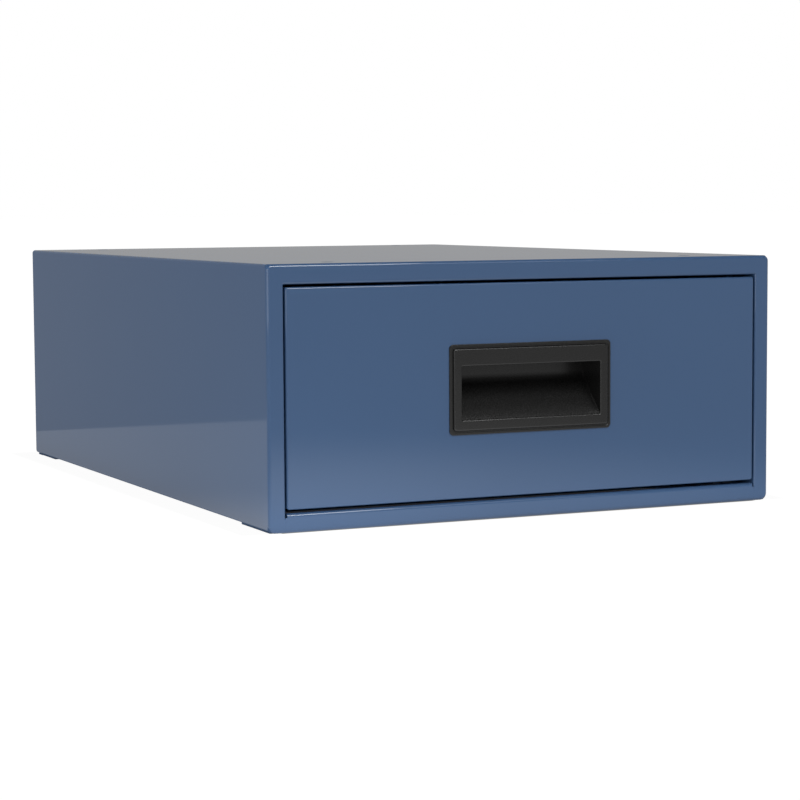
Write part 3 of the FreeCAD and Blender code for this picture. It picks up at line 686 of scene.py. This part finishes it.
def pull_handle():
    """Moulded flush pull as one closed skin, from the flange round the rim into the pocket."""
    half = pull_high.x
    low, high = pull_low.z, pull_high.z
    mouth = pull_low.y
    seat = mouth + PULL_PROUD
    flange_y = seat - PULL_FLANGE

    def ring(inset, y, radius):
        return rounded_rectangle(half - inset, low + inset, high - inset, radius, y)

    def pocket_ring(grow, y, floor, radius):
        x = half - STEP_TOP - RIM_SIDE + grow
        top = high - STEP_TOP - RIM_TOP + grow
        return rounded_rectangle(x, floor, top, radius, y)

    rings = [ring(0, seat, PULL_CORNER_R)]
    for a in quarter_arc(6):
        inset = FLANGE_EDGE_R * (1 - math.cos(a))
        y = flange_y + FLANGE_EDGE_R * (1 - math.sin(a))
        rings.append(ring(inset, y, PULL_CORNER_R - inset))
    for inset, y in (
        (GROOVE_OUT - GROOVE_EDGE, flange_y),
        (GROOVE_OUT, flange_y + GROOVE_EDGE),
        (GROOVE_OUT + GROOVE_SLOPE, flange_y + GROOVE_DEPTH),
        (GROOVE_IN - GROOVE_SLOPE, flange_y + GROOVE_DEPTH),
        (GROOVE_IN, flange_y),
    ):
        rings.append(ring(inset, y, GROOVE_CORNER_R))
    for a in quarter_arc(5):
        inset = RIM_INSET + RIM_EDGE_R * (1 - math.cos(a))
        rings.append(ring(inset, mouth + RIM_EDGE_R * (1 - math.sin(a)), RIM_CORNER_R))
    floor_z = pull_low.z + STEP_TOP + RIM_BOTTOM
    for a in quarter_arc(5):
        grow = MOUTH_EDGE_R * (1 - math.sin(a))
        depth = MOUTH_EDGE_R * (1 - math.cos(a))
        floor = floor_z - grow + depth * MOUTH_SILL_SLOPE
        rings.append(pocket_ring(grow, mouth + depth, floor, MOUTH_CORNER_R + grow))
    start, line = pocket_floor(0.0)
    slope_depth = line[0][0] - MOUTH_EDGE_R
    for share in (0.1, 0.4, 0.7, 1.0):
        depth = MOUTH_EDGE_R + slope_depth * share
        rings.append(pocket_ring(0, mouth + depth, start + depth, MOUTH_CORNER_R))
    for depth, z in line[1:]:
        rings.append(pocket_ring(0, mouth + depth, z, MOUTH_CORNER_R))
    inside, faces = bridge_rings(rings)
    cap = len(inside)
    count = len(rings[0])
    faces.append(tuple(range(cap - count, cap)))
    # The hidden side: flange back, skirt and the pocket's outer wall, back to front.
    start, line = pocket_floor(PULL_WALL)
    outer = []
    for depth, z in reversed(line):
        outer.append(pocket_ring(PULL_WALL, mouth + depth, z, POCKET_OUTER_R))
    skirt_y = seat + SKIRT_DEPTH
    outer.append(pocket_ring(PULL_WALL, skirt_y, start + skirt_y - mouth, POCKET_OUTER_R))
    outer.append(ring(SKIRT_INSET + SKIRT_EDGE, skirt_y, SKIRT_CORNER_R))
    outer.append(ring(SKIRT_INSET, skirt_y - SKIRT_EDGE, SKIRT_CORNER_R))
    outer.append(ring(SKIRT_INSET, seat, SKIRT_CORNER_R))
    outside, outer_faces = bridge_rings(outer)
    faces += [tuple(cap + i for i in face) for face in outer_faces]
    faces.append(tuple(cap + i for i in reversed(range(count))))
    last = cap + len(outside) - count
    for j in range(count):
        k = (j + 1) % count
        faces.append((last + j, last + k, k, j))
    pull = mesh_from("flush_pull", inside + outside, faces)
    for x in (-LUG_X, LUG_X):
        for z, way in ((low + SKIRT_INSET, -1), (high - SKIRT_INSET, 1)):
            combine(pull, snap_lug(x, seat, z, way), "UNION")
    shade(pull, 30)
    return finished(pull, "pull_handle", MATERIALS["black_abs"], "drawer")


def snap_lug(x, seat, z, way):
    """Wedge on the skirt that springs out behind the face pan; way is up or down."""
    catch = seat + SHEET + LUG_GAP
    tail = seat + SKIRT_DEPTH - LUG_SHORT
    inside = z - LUG_SUNK * way
    crest = z + LUG_RISE * way
    side = [
        (catch, inside),
        (catch, crest),
        (catch + LUG_CREST, crest),
        (tail, z + LUG_TOE * way),
        (tail, inside),
    ]
    rings = [[Vector((x + edge, y, z)) for y, z in side] for edge in (-LUG_HALF, LUG_HALF)]
    points, faces = bridge_rings(rings)
    count = len(side)
    faces.append(tuple(range(count)))
    faces.append(tuple(range(count, 2 * count)))
    return mesh_from("snap_lug", points, faces)


# ---------------------------------------------------------------- slides

SLIDE_BEND_R = 2.0 * MM
MIDDLE_SHEET = 1.0 * MM
OUTER_CUP = 0.6 * MM
MIDDLE_DIP = 0.25 * MM
INNER_DIP = 0.3 * MM
RACEWAY_HALF = 2.1 * MM
RACEWAY_STEPS = 14
WEB_POINT = 0.4
BALLS_IN_ROW = 7
SCREW_Y = (60.0 * MM, 270.0 * MM, 480.0 * MM)
RIVET_Y = (60.0 * MM, 180.0 * MM, 480.0 * MM)
SCREW_R = 2.0 * MM
COUNTERSINK_R = 3.8 * MM
HOLE_FIT = 0.1 * MM
RIVET_FIT = 0.02 * MM
RIVET_CUT = 3.0 * MM
RIVET_R = 3.5 * MM


def slide_outline(node, ball_x, sheet, dip, cup, web_high):
    """Rolled channel section as (x, z), with a raceway along each lip where the balls run.

    The lip bulges outward by cup over a row of balls inside it and dips by dip under a row
    of balls outside it. web_high tells which side of the node's box the web lies on.
    """
    low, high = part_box(node)
    middle = (low.z + high.z) / 2
    half = (high.z - low.z) / 2
    reach = high.x - low.x
    ball = high.x - ball_x if web_high else ball_x - low.x
    flat = half - cup
    outside = [(0.0, half * WEB_POINT)]
    inside = [(sheet, half * WEB_POINT)]
    for a in quarter_arc(6):
        outside.append((SLIDE_BEND_R * (1 - math.cos(a)),
                        flat - SLIDE_BEND_R * (1 - math.sin(a))))
        bend = SLIDE_BEND_R - sheet
        inside.append((SLIDE_BEND_R - bend * math.cos(a), flat - SLIDE_BEND_R + bend * math.sin(a)))
    start = max(ball - RACEWAY_HALF, SLIDE_BEND_R + 10 * POINT_GAP)
    end = min(ball + RACEWAY_HALF, reach)
    for i in range(RACEWAY_STEPS + 1):
        depth = start + (end - start) * i / RACEWAY_STEPS
        wave = math.cos(math.pi * (depth - ball) / (2 * RACEWAY_HALF)) ** 2
        z = flat + (cup - dip) * wave
        outside.append((depth, z))
        inside.append((depth, z - sheet))
    if reach - end > 5 * POINT_GAP:
        outside.append((reach, flat))
        inside.append((reach, flat - sheet))
    upper = outside + inside[::-1]
    lower = [(depth, -z) for depth, z in inside] + [(depth, -z) for depth, z in outside[::-1]]
    way, back = (-1, high.x) if web_high else (1, low.x)
    return [(back + way * depth, middle + z) for depth, z in upper + lower]


def cross_bar(x, y, z, profile):
    """Cutter turned about a line along X; profile is (radius, offset along X)."""
    ends = [(0, profile[0][1])] + profile + [(0, profile[-1][1])]
    return repeated("bar", lathe("bar", ends), [aimed((x, y, z), (1, 0, 0))])


def slide_member(node, partner, sheet, dip, cup, web_high, body, holes=()):
    """One member of a slide; partner is the node with the balls that run on it."""
    low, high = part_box(node)
    ball_low, ball_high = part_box(partner)
    outline = slide_outline(node, (ball_low.x + ball_high.x) / 2, sheet, dip, cup, web_high)
    member = extruded("member", outline, low.y, high.y)
    for x, y, z, profile in holes:
        combine(member, cross_bar(x, y, z, profile), "DIFFERENCE")
    soften(member, SLIDE_EDGE_R)
    finished(member, node, MATERIALS["zinc_plate"], body)


def ball_rows(node, body):
    """Two rows of bearing balls as high as the node's box."""
    low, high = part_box(node)
    radius = (high.x - low.x) / 2
    bm = bmesh.new()
    bmesh.ops.create_icosphere(bm, subdivisions=3, radius=radius)
    mesh = bpy.data.meshes.new("ball")
    bm.to_mesh(mesh)
    bm.free()
    ball = new_object("ball", mesh)
    first = low.y + radius
    pitch = (high.y - low.y - 2 * radius) / (BALLS_IN_ROW - 1)
    places = []
    for i in range(BALLS_IN_ROW):
        for z in (low.z + radius, high.z - radius):
            places.append(Matrix.Translation((low.x + radius, first + pitch * i, z)))
    rows = repeated("ball_row", ball, places)
    rows.data.polygons.foreach_set("use_smooth", [True] * len(rows.data.polygons))
    finished(rows, node, MATERIALS["ball_steel"], body)


def slide_set(side, sign):
    """All rolled members and balls of the slide on one side."""
    outer_low, outer_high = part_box("slide_outer_" + side)
    inner_low, inner_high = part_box("slide_inner_" + side)
    z = (outer_low.z + outer_high.z) / 2
    wall_x = outer_high.x if sign > 0 else outer_low.x
    tray_x = inner_low.x if sign > 0 else inner_high.x
    shank = SCREW_R + HOLE_FIT
    countersink = [
        (COUNTERSINK_R + 2 * HOLE_FIT, -sign * (SHEET + HOLE_FIT)),
        (shank, 0.0),
        (shank, sign * MM),
    ]
    straight = [(SCREW_R + RIVET_FIT, end) for end in (-RIVET_CUT, RIVET_CUT)]
    screws = [(wall_x, FRONT + y, z, countersink) for y in SCREW_Y]
    rivets = [(tray_x, FRONT + y, z, straight) for y in RIVET_Y]
    slide_member("slide_outer_" + side, "balls_outer_" + side, SHEET, 0, OUTER_CUP, sign > 0,
                 "cabinet", screws)
    slide_member("slide_middle_" + side, "balls_outer_" + side, MIDDLE_SHEET, MIDDLE_DIP, 0,
                 sign > 0, "slide_middle_" + side)
    slide_member("slide_inner_" + side, "balls_inner_" + side, SHEET, INNER_DIP, 0, sign < 0,
                 "drawer", rivets)
    ball_rows("balls_outer_" + side, "outer_cage_" + side)
    ball_rows("balls_inner_" + side, "inner_cage_" + side)


# ---------------------------------------------------------------- fasteners

THREAD_PITCH = 0.7 * MM
THREAD_DEPTH = 0.3 * MM
TIP_CHAMFER = 0.3 * MM
COUNTERSINK_RIM = 0.1 * MM
BRACKET_SCREW_LENGTH = 7.2 * MM
PAN_HEAD_R = 3.5 * MM
PAN_HEAD = 2.0 * MM
PAN_RIM = 0.8 * MM
RIVET_GRIP = 2.2 * MM
RIVET_HEAD = 0.8 * MM
RIVET_RIM = 0.15 * MM
PIN_LENGTH = 5.0 * MM
PIN_RIM = 0.25 * MM
EDGE_BREAK = 0.1 * MM
RECESS_ABOVE = 0.3 * MM
RECESS_WIDE = 0.52 * MM
RECESS_NARROW = 0.3 * MM


def cross_recess(depth, reach):
    """Cutter for a cross recess that narrows towards its bottom; its top is above z = 0."""
    rings = []
    for z, arm, half in (
        (RECESS_ABOVE, reach * 1.1, RECESS_WIDE),
        (-depth, reach * 0.4, RECESS_NARROW),
    ):
        corners = []
        for turn in range(4):
            c, s = (1, 0, -1, 0)[turn], (0, 1, 0, -1)[turn]
            for u, v in ((arm, -half), (arm, half), (half, half)):
                corners.append(Vector((c * u - s * v, s * u + c * v, z)))
        rings.append(corners)
    points, faces = bridge_rings(rings)
    faces.append(tuple(range(12)))
    faces.append(tuple(range(12, 24)))
    return mesh_from("recess", points, faces)


def threaded(radius, top, length):
    """Profile of a thread from top down to -length, then its end on the axis."""
    pitch = THREAD_PITCH
    root = radius - THREAD_DEPTH
    line = []
    z = top - EDGE_BREAK
    while z - pitch > -length + 2 * TIP_CHAMFER:
        line += [(root, z), (radius, z - pitch * 0.4), (radius, z - pitch * 0.6), (root, z - pitch)]
        z -= pitch
    return line + [(root, -length + TIP_CHAMFER), (root - TIP_CHAMFER, -length), (0, -length)]


def bracket_screws():
    """Countersunk screws that hold the slides to their brackets."""
    low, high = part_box("bracket_screws")
    length = BRACKET_SCREW_LENGTH
    profile = [(0, 0), (COUNTERSINK_R - 1.5 * COUNTERSINK_RIM, 0),
               (COUNTERSINK_R, -COUNTERSINK_RIM), (SCREW_R, -SHEET)]
    screw = lathe("screw", profile + threaded(SCREW_R, -SHEET, length))
    combine(screw, cross_recess(depth=1.5 * MM, reach=2.1 * MM), "DIFFERENCE")
    z = (low.z + high.z) / 2
    places = []
    for sign in (1, -1):
        head_x = sign * (high.x - length)
        for y in SCREW_Y:
            places.append(aimed((head_x, FRONT + y, z), (-sign, 0, 0)))
    group = repeated("countersunk_screws", screw, places)
    shade(group)
    finished(group, "bracket_screws", MATERIALS["fastener_zinc"], "cabinet")


def dome(radius, height, edge):
    """Profile of a low dome from its middle to its rim."""
    steps = 7
    line = [(0, height)]
    for i in range(1, steps + 1):
        a = math.pi / 2 * i / steps
        line.append((radius * math.sin(a), edge + (height - edge) * math.cos(a)))
    return line


def face_screws():
    """Pan-head screws that hold the face pan to the tray's inner front."""
    low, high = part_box("face_screws")
    head_r = PAN_HEAD_R
    head = PAN_HEAD
    length = high.y - low.y
    profile = [(r, z - head) for r, z in dome(head_r, head, PAN_RIM)]
    profile += [(head_r, -head + EDGE_BREAK), (head_r - EDGE_BREAK, -head), (SCREW_R, -head)]
    screw = lathe("screw", profile + threaded(SCREW_R, -head, length))
    combine(screw, cross_recess(depth=1.3 * MM, reach=2.0 * MM), "DIFFERENCE")
    places = []
    for x in (low.x + head_r, high.x - head_r):
        for z in (low.z + head_r, high.z - head_r):
            places.append(aimed((x, high.y, z), (0, 1, 0)))
    group = repeated("pan_screws", screw, places)
    shade(group)
    finished(group, "face_screws", MATERIALS["fastener_zinc"], "drawer")


def tray_rivets():
    """Rivets with a low dome on both sides of the tray wall and the drawer member."""
    low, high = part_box("tray_rivets")
    half_grip = RIVET_GRIP / 2
    profile = [(r, z + half_grip) for r, z in dome(RIVET_R, RIVET_HEAD, RIVET_RIM)]
    profile += [(RIVET_R, half_grip), (SCREW_R, half_grip)]
    profile += [(r, -z) for r, z in reversed(profile)]
    rivet = lathe("rivet", profile)
    middle = high.x - RIVET_HEAD - half_grip
    z = (low.z + high.z) / 2
    places = []
    for sign in (1, -1):
        for y in RIVET_Y:
            places.append(aimed((sign * middle, FRONT + y, z), (sign, 0, 0)))
    group = repeated("rivets", rivet, places)
    shade(group)
    finished(group, "tray_rivets", MATERIALS["fastener_zinc"], "drawer")


def lever_pins():
    """Shouldered rivets that the release levers turn on."""
    low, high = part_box("lever_pins")
    head = RIVET_HEAD
    length = PIN_LENGTH
    profile = dome(RIVET_R, 0, PIN_RIM - head)
    profile += [(RIVET_R, -head), (SCREW_R, -head), (SCREW_R, -length + EDGE_BREAK),
                (SCREW_R - EDGE_BREAK, -length), (0, -length)]
    pin = lathe("pin", profile)
    y = (low.y + high.y) / 2
    z = (low.z + high.z) / 2
    places = [aimed((sign * high.x, y, z), (sign, 0, 0)) for sign in (1, -1)]
    group = repeated("pins", pin, places)
    shade(group)
    finished(group, "lever_pins", MATERIALS["fastener_zinc"], "drawer")


# ---------------------------------------------------------------- pieces kept close to the CAD

RAIL_FOLD_TIGHTNESS = 0.88


def refined(node, slot_name, width, body, reshape=None):
    """A piece with the CAD node's shape and softened edges."""
    piece = cleaned_copy(node + "_fine", node)
    if reshape:
        reshape(piece)
    soften(piece, width)
    return finished(piece, node, MATERIALS[slot_name], body)


def tight_end_folds(rail):
    """Draw the folds at a cross rail's two ends out from their round to a tight corner."""
    for vertex in rail.data.vertices:
        out = abs(vertex.co.x) - (HALF_WIDTH - SHEET - FOLD_R)
        down = FOLD_R - vertex.co.z
        if out > 0 and down > 0:
            radius = min(math.hypot(out, down), FOLD_R)
            share = max(radius / max(out, down) - 1, 0) * RAIL_FOLD_TIGHTNESS
            vertex.co.x += math.copysign(out * share, vertex.co.x)
            vertex.co.z -= down * share


cabinet_shell()
drawer_front()
pull_handle()
for name in ("front_bottom_rail", "rear_bottom_rail"):
    refined(name, "blue_powder_coat", PANEL_EDGE_R, "cabinet", tight_end_folds)
refined("back_panel", "blue_powder_coat", PANEL_EDGE_R, "cabinet")
for name in ("drawer_tray", "drawer_back", "drawer_inner_front"):
    refined(name, "tray_powder_coat", PANEL_EDGE_R, "drawer")
for side, sign in (("right", 1), ("left", -1)):
    slide_set(side, sign)
    refined("slide_bracket_" + side, "bracket_steel", PANEL_EDGE_R, "cabinet")
    refined("ball_cage_outer_" + side, "cage_steel", CAGE_EDGE_R, "outer_cage_" + side)
    refined("ball_cage_inner_" + side, "cage_steel", CAGE_EDGE_R, "inner_cage_" + side)
    refined("release_lever_" + side, "lever_plastic", LEVER_EDGE_R, "release_lever_" + side)
refined("slide_buffers", "buffer_rubber", BUFFER_EDGE_R, "cabinet")
bracket_screws()
face_screws()
tray_rivets()
lever_pins()


# ---------------------------------------------------------------- camera

EYE = Vector((-746.8, -1403.2, 218.2)) * MM
YAW = math.radians(24.76)
PITCH = math.radians(4.92)
ROLL = math.radians(-0.34)
LENS = 103.7


def add_camera():
    """Camera at EYE, measured from the middle of the face's foot, turned by yaw, pitch and roll."""
    data = bpy.data.cameras.new("camera")
    data.lens = LENS
    data.clip_start = 0.02
    camera = bpy.data.objects.new("camera", data)
    scene.collection.objects.link(camera)
    forward = Vector((math.sin(YAW) * math.cos(PITCH), math.cos(YAW) * math.cos(PITCH),
                      -math.sin(PITCH)))
    level = Vector((math.cos(YAW), -math.sin(YAW), 0))
    up = level.cross(forward)
    right = level * math.cos(ROLL) + up * math.sin(ROLL)
    up = up * math.cos(ROLL) - level * math.sin(ROLL)
    turn = Matrix((right, up, -forward)).transposed().to_4x4()
    camera.matrix_world = Matrix.Translation(Vector((0, FRONT, 0)) + EYE) @ turn
    scene.camera = camera


# ---------------------------------------------------------------- stage and light

FLOOR_REACH = 30.0
FLOOR_COLOR = 0.1
FLOOR_GLOW = 0.96
FLOOR_DROP = 0.3 * MM
ROOM_R = 12.0
ROOM_SIDE = 0.35 * ROOM_R
ROOM_GLOW_LEFT = 0.29
ROOM_GLOW_RIGHT = 0.36
CEILING_LOW = 0.3 * ROOM_R
CEILING_HIGH = 0.6 * ROOM_R
CEILING = 0.3
WORLD_LIGHT = 0.56
WORLD_SEEN = 1.0
TABLE_GLOW = 0.5
TABLE_BEHIND = 750.0 * MM
TABLE_DROP = 0.1 * MM
# Painted shade: under the piece the glowing floors drop to a tenth of their glow, and the reaches
# and blurs below set where that painted shade ends.
PAINTED_SHADE = 0.1
FLOOR_PAINTED_SHADE_REACH = -8.5 * MM
MIRROR_PAINTED_SHADE_REACH = 7.5 * MM
BOUNCE_PAINTED_SHADE_REACH = 20.0 * MM
PAINTED_SHADE_BLUR_SIDE = 3.0 * MM
PAINTED_SHADE_BLUR_FRONT = 4.0 * MM
PAINTED_SHADE_BLUR_BACK = 5.0 * MM


def glow_material(name, strength):
    """Material that only gives out white light."""
    made = bpy.data.materials.new(name)
    made.use_nodes = True
    tree = made.node_tree
    tree.nodes.clear()
    glow = tree.nodes.new("ShaderNodeEmission")
    glow.inputs["Strength"].default_value = strength
    out = tree.nodes.new("ShaderNodeOutputMaterial")
    tree.links.new(glow.outputs["Emission"], out.inputs["Surface"])
    return made


def add_matte(material, grey):
    """Add a matte grey surface to a glowing material."""
    tree = material.node_tree
    matte = tree.nodes.new("ShaderNodeBsdfDiffuse")
    matte.inputs["Color"].default_value = (grey, grey, grey, 1)
    both = tree.nodes.new("ShaderNodeAddShader")
    tree.links.new(tree.nodes["Emission"].outputs["Emission"], both.inputs[0])
    tree.links.new(matte.outputs["BSDF"], both.inputs[1])
    tree.links.new(both.outputs["Shader"], tree.nodes["Material Output"].inputs["Surface"])


def only_in_reflections(obj):
    """Hide an object from everything but glossy rays."""
    obj.visible_camera = False
    obj.visible_diffuse = False
    obj.visible_shadow = False
    obj.visible_transmission = False


def floor_plane(name, z, back, material):
    """Level plane that runs far to the left, right and front, and back to the given y."""
    far = FLOOR_REACH
    corners = [(-far, -far, z), (far, -far, z), (far, back, z), (-far, back, z)]
    plane = mesh_from(name, corners, [(0, 1, 2, 3)])
    plane.data.materials.append(material)
    return plane


def surroundings():
    """Dim room that only glossy surfaces see, a little brighter towards +X and dark overhead."""
    bm = bmesh.new()
    bmesh.ops.create_icosphere(bm, subdivisions=4, radius=ROOM_R)
    mesh = bpy.data.meshes.new("surroundings")
    bm.to_mesh(mesh)
    bm.free()
    dome = new_object("surroundings", mesh)
    made = glow_material("surroundings", 1.0)
    tree = made.node_tree
    place = tree.nodes.new("ShaderNodeTexCoord")
    axes = tree.nodes.new("ShaderNodeSeparateXYZ")
    ramp = tree.nodes.new("ShaderNodeMapRange")
    ramp.inputs["From Min"].default_value = -ROOM_SIDE
    ramp.inputs["From Max"].default_value = ROOM_SIDE
    ramp.inputs["To Min"].default_value = ROOM_GLOW_LEFT
    ramp.inputs["To Max"].default_value = ROOM_GLOW_RIGHT
    tree.links.new(place.outputs["Object"], axes.inputs["Vector"])
    tree.links.new(axes.outputs["X"], ramp.inputs["Value"])
    ceiling = tree.nodes.new("ShaderNodeMapRange")
    ceiling.inputs["From Min"].default_value = CEILING_LOW
    ceiling.inputs["From Max"].default_value = CEILING_HIGH
    ceiling.inputs["To Min"].default_value = 1.0
    ceiling.inputs["To Max"].default_value = CEILING
    tree.links.new(axes.outputs["Z"], ceiling.inputs["Value"])
    both = tree.nodes.new("ShaderNodeMath")
    both.operation = "MULTIPLY"
    tree.links.new(ramp.outputs["Result"], both.inputs[0])
    tree.links.new(ceiling.outputs["Result"], both.inputs[1])
    tree.links.new(both.outputs["Value"], tree.nodes["Emission"].inputs["Strength"])
    mesh.materials.append(made)
    only_in_reflections(dome)


def area_light(name, place, target, size, power):
    """Rectangular light aimed at the target, with its size in metres and its power in watts."""
    data = bpy.data.lights.new(name, "AREA")
    data.shape = "RECTANGLE"
    data.size, data.size_y = size
    data.energy = power
    lamp = bpy.data.objects.new(name, data)
    scene.collection.objects.link(lamp)
    lamp.location = place
    lamp.rotation_euler = (Vector(target) - Vector(place)).to_track_quat("-Z", "Y").to_euler()
    lamp.visible_camera = False
    return lamp


def studio_world():
    """Even white light from all round; the camera itself sees a brighter backdrop."""
    world = bpy.data.worlds.new("world")
    scene.world = world
    world.use_nodes = True
    tree = world.node_tree
    background = tree.nodes["Background"]
    background.inputs["Color"].default_value = (1, 1, 1, 1)
    path = tree.nodes.new("ShaderNodeLightPath")
    choose = tree.nodes.new("ShaderNodeMapRange")
    choose.inputs["To Min"].default_value = WORLD_LIGHT
    choose.inputs["To Max"].default_value = WORLD_SEEN
    tree.links.new(path.outputs["Is Camera Ray"], choose.inputs["Value"])
    tree.links.new(choose.outputs["Result"], background.inputs["Strength"])


def floor_glow(name, reach, even, painted_light_patch=0.0, middle=(0.0, 0.0, 0.0), radius=1.0):
    """Material for a glowing floor.

    It glows evenly but for a round bright patch, which is a painted pool of light, and its glow is
    cut down under the piece as painted shade, standing in for the piece's shadow. reach is how far
    the painted shade goes past the piece's sides and back, or how far short of them it ends where
    it is negative. Along the front it starts at the face.
    """
    made = glow_material(name, even)
    tree = made.node_tree
    place = tree.nodes.new("ShaderNodeTexCoord").outputs["Object"]
    axes = tree.nodes.new("ShaderNodeSeparateXYZ")
    tree.links.new(place, axes.inputs["Vector"])

    def ramp(value, start, end, low, high):
        step = tree.nodes.new("ShaderNodeMapRange")
        step.interpolation_type = "SMOOTHSTEP"
        amounts = {"From Min": start, "From Max": end, "To Min": low, "To Max": high}
        for socket, amount in amounts.items():
            step.inputs[socket].default_value = amount
        tree.links.new(value, step.inputs["Value"])
        return step.outputs["Result"]

    def combined(operation, *values):
        step = tree.nodes.new("ShaderNodeMath")
        step.operation = operation
        for socket, value in zip(step.inputs, values):
            tree.links.new(value, socket)
        return step.outputs["Value"]

    # Painted pool of light: the glow rises by the patch near middle and fades out at radius.
    apart = tree.nodes.new("ShaderNodeVectorMath")
    apart.operation = "DISTANCE"
    apart.inputs[1].default_value = middle
    tree.links.new(place, apart.inputs[0])
    painted_light_pool = ramp(apart.outputs["Value"], 0.0, radius, even + painted_light_patch, even)
    # Painted shade: under the piece, out to the edges set by reach, the glow drops to a tenth.
    side = combined("ABSOLUTE", axes.outputs["X"])
    edge = HALF_WIDTH + reach
    beside = ramp(side, edge - PAINTED_SHADE_BLUR_SIDE, edge, PAINTED_SHADE, 1.0)
    before = ramp(axes.outputs["Y"], FRONT, FRONT + PAINTED_SHADE_BLUR_FRONT, 1.0, PAINTED_SHADE)
    rear = BACK + reach
    behind = ramp(axes.outputs["Y"], rear - PAINTED_SHADE_BLUR_BACK, rear, PAINTED_SHADE, 1.0)
    painted_shade_mask = combined("MAXIMUM", combined("MAXIMUM", beside, before), behind)
    strength = combined("MULTIPLY", painted_light_pool, painted_shade_mask)
    tree.links.new(strength, tree.nodes["Emission"].inputs["Strength"])
    return made


def add_stage():
    """Three floors: one that the camera sees, one for reflections and one for bounced light."""
    # The floor the camera sees has painted shade under the piece, where it shows through the open
    # bottom.
    pale = floor_glow("floor", FLOOR_PAINTED_SHADE_REACH, FLOOR_GLOW)
    add_matte(pale, FLOOR_COLOR)
    seen = floor_plane("floor", -FLOOR_DROP, FLOOR_REACH, pale)
    seen.visible_glossy = False
    seen.visible_diffuse = False
    seen.visible_shadow = False
    # The floor seen in reflections has a painted shadow reaching past the piece's sides and a
    # painted pool of light in front of the face.
    mirrored = floor_plane(
        "table_in_reflections", -TABLE_DROP, FRONT + TABLE_BEHIND,
        floor_glow("table_in_reflections", MIRROR_PAINTED_SHADE_REACH, TABLE_GLOW, painted_light_patch=0.85,
                   middle=(-0.1, FRONT - 0.2, 0.0), radius=0.5))
    only_in_reflections(mirrored)
    # The floor for bounced light has a painted shadow round the piece and a painted pool of light
    # at the face's foot.
    bounce = floor_plane(
        "table_bounce", -TABLE_DROP, FRONT + TABLE_BEHIND,
        floor_glow("table_bounce", BOUNCE_PAINTED_SHADE_REACH, TABLE_GLOW, painted_light_patch=0.5,
                   middle=(-0.2, FRONT - 0.02, 0.0), radius=0.2))
    only_in_reflections(bounce)
    bounce.visible_diffuse = True
    bounce.visible_glossy = False
    surroundings()
    studio_world()
    add_lights()


def add_lights():
    """Two keys from the front right and a fill from the left, then lights seen only in part.

    Only reflections see edge_glow, and reflections never see the last three fills.
    """
    area_light("key", (0.3, -1.95, 1.75), (-0.1, -0.2, 0.1), (1.1, 1.1), 12)
    area_light("key_edge", (0.55, -2.0, 1.8), (-0.1, -0.2, 0.1), (1.6, 0.9), 8)
    area_light("side_fill", (-2.35, -1.15, 0.55), (0, -0.1, 0.08), (2.6, 1.3), 16)
    edge_glow = area_light("edge_glow", (-0.03, FRONT - 1.35, 1.8), (0, FRONT, 0.1),
                           (1.9, 0.95), 34)
    edge_glow.visible_diffuse = False
    fills = (
        area_light("wall_fill", (-2.5, 0.3, 0.6), (0, 0, 0.08), (1.2, 0.8), 4),
        area_light("front_fill", (-1.2, -2.0, 0.25), (0, FRONT, 0.09), (1.0, 0.6), 2),
        area_light("foot_fill", (0, FRONT - 0.02, 0.4 * MM), (0, FRONT - 0.02, 1.0),
                   (0.42, 0.034), 0.03),
    )
    for fill in fills:
        fill.visible_glossy = False


add_camera()
add_stage()
scene.view_settings.view_transform = "Standard"
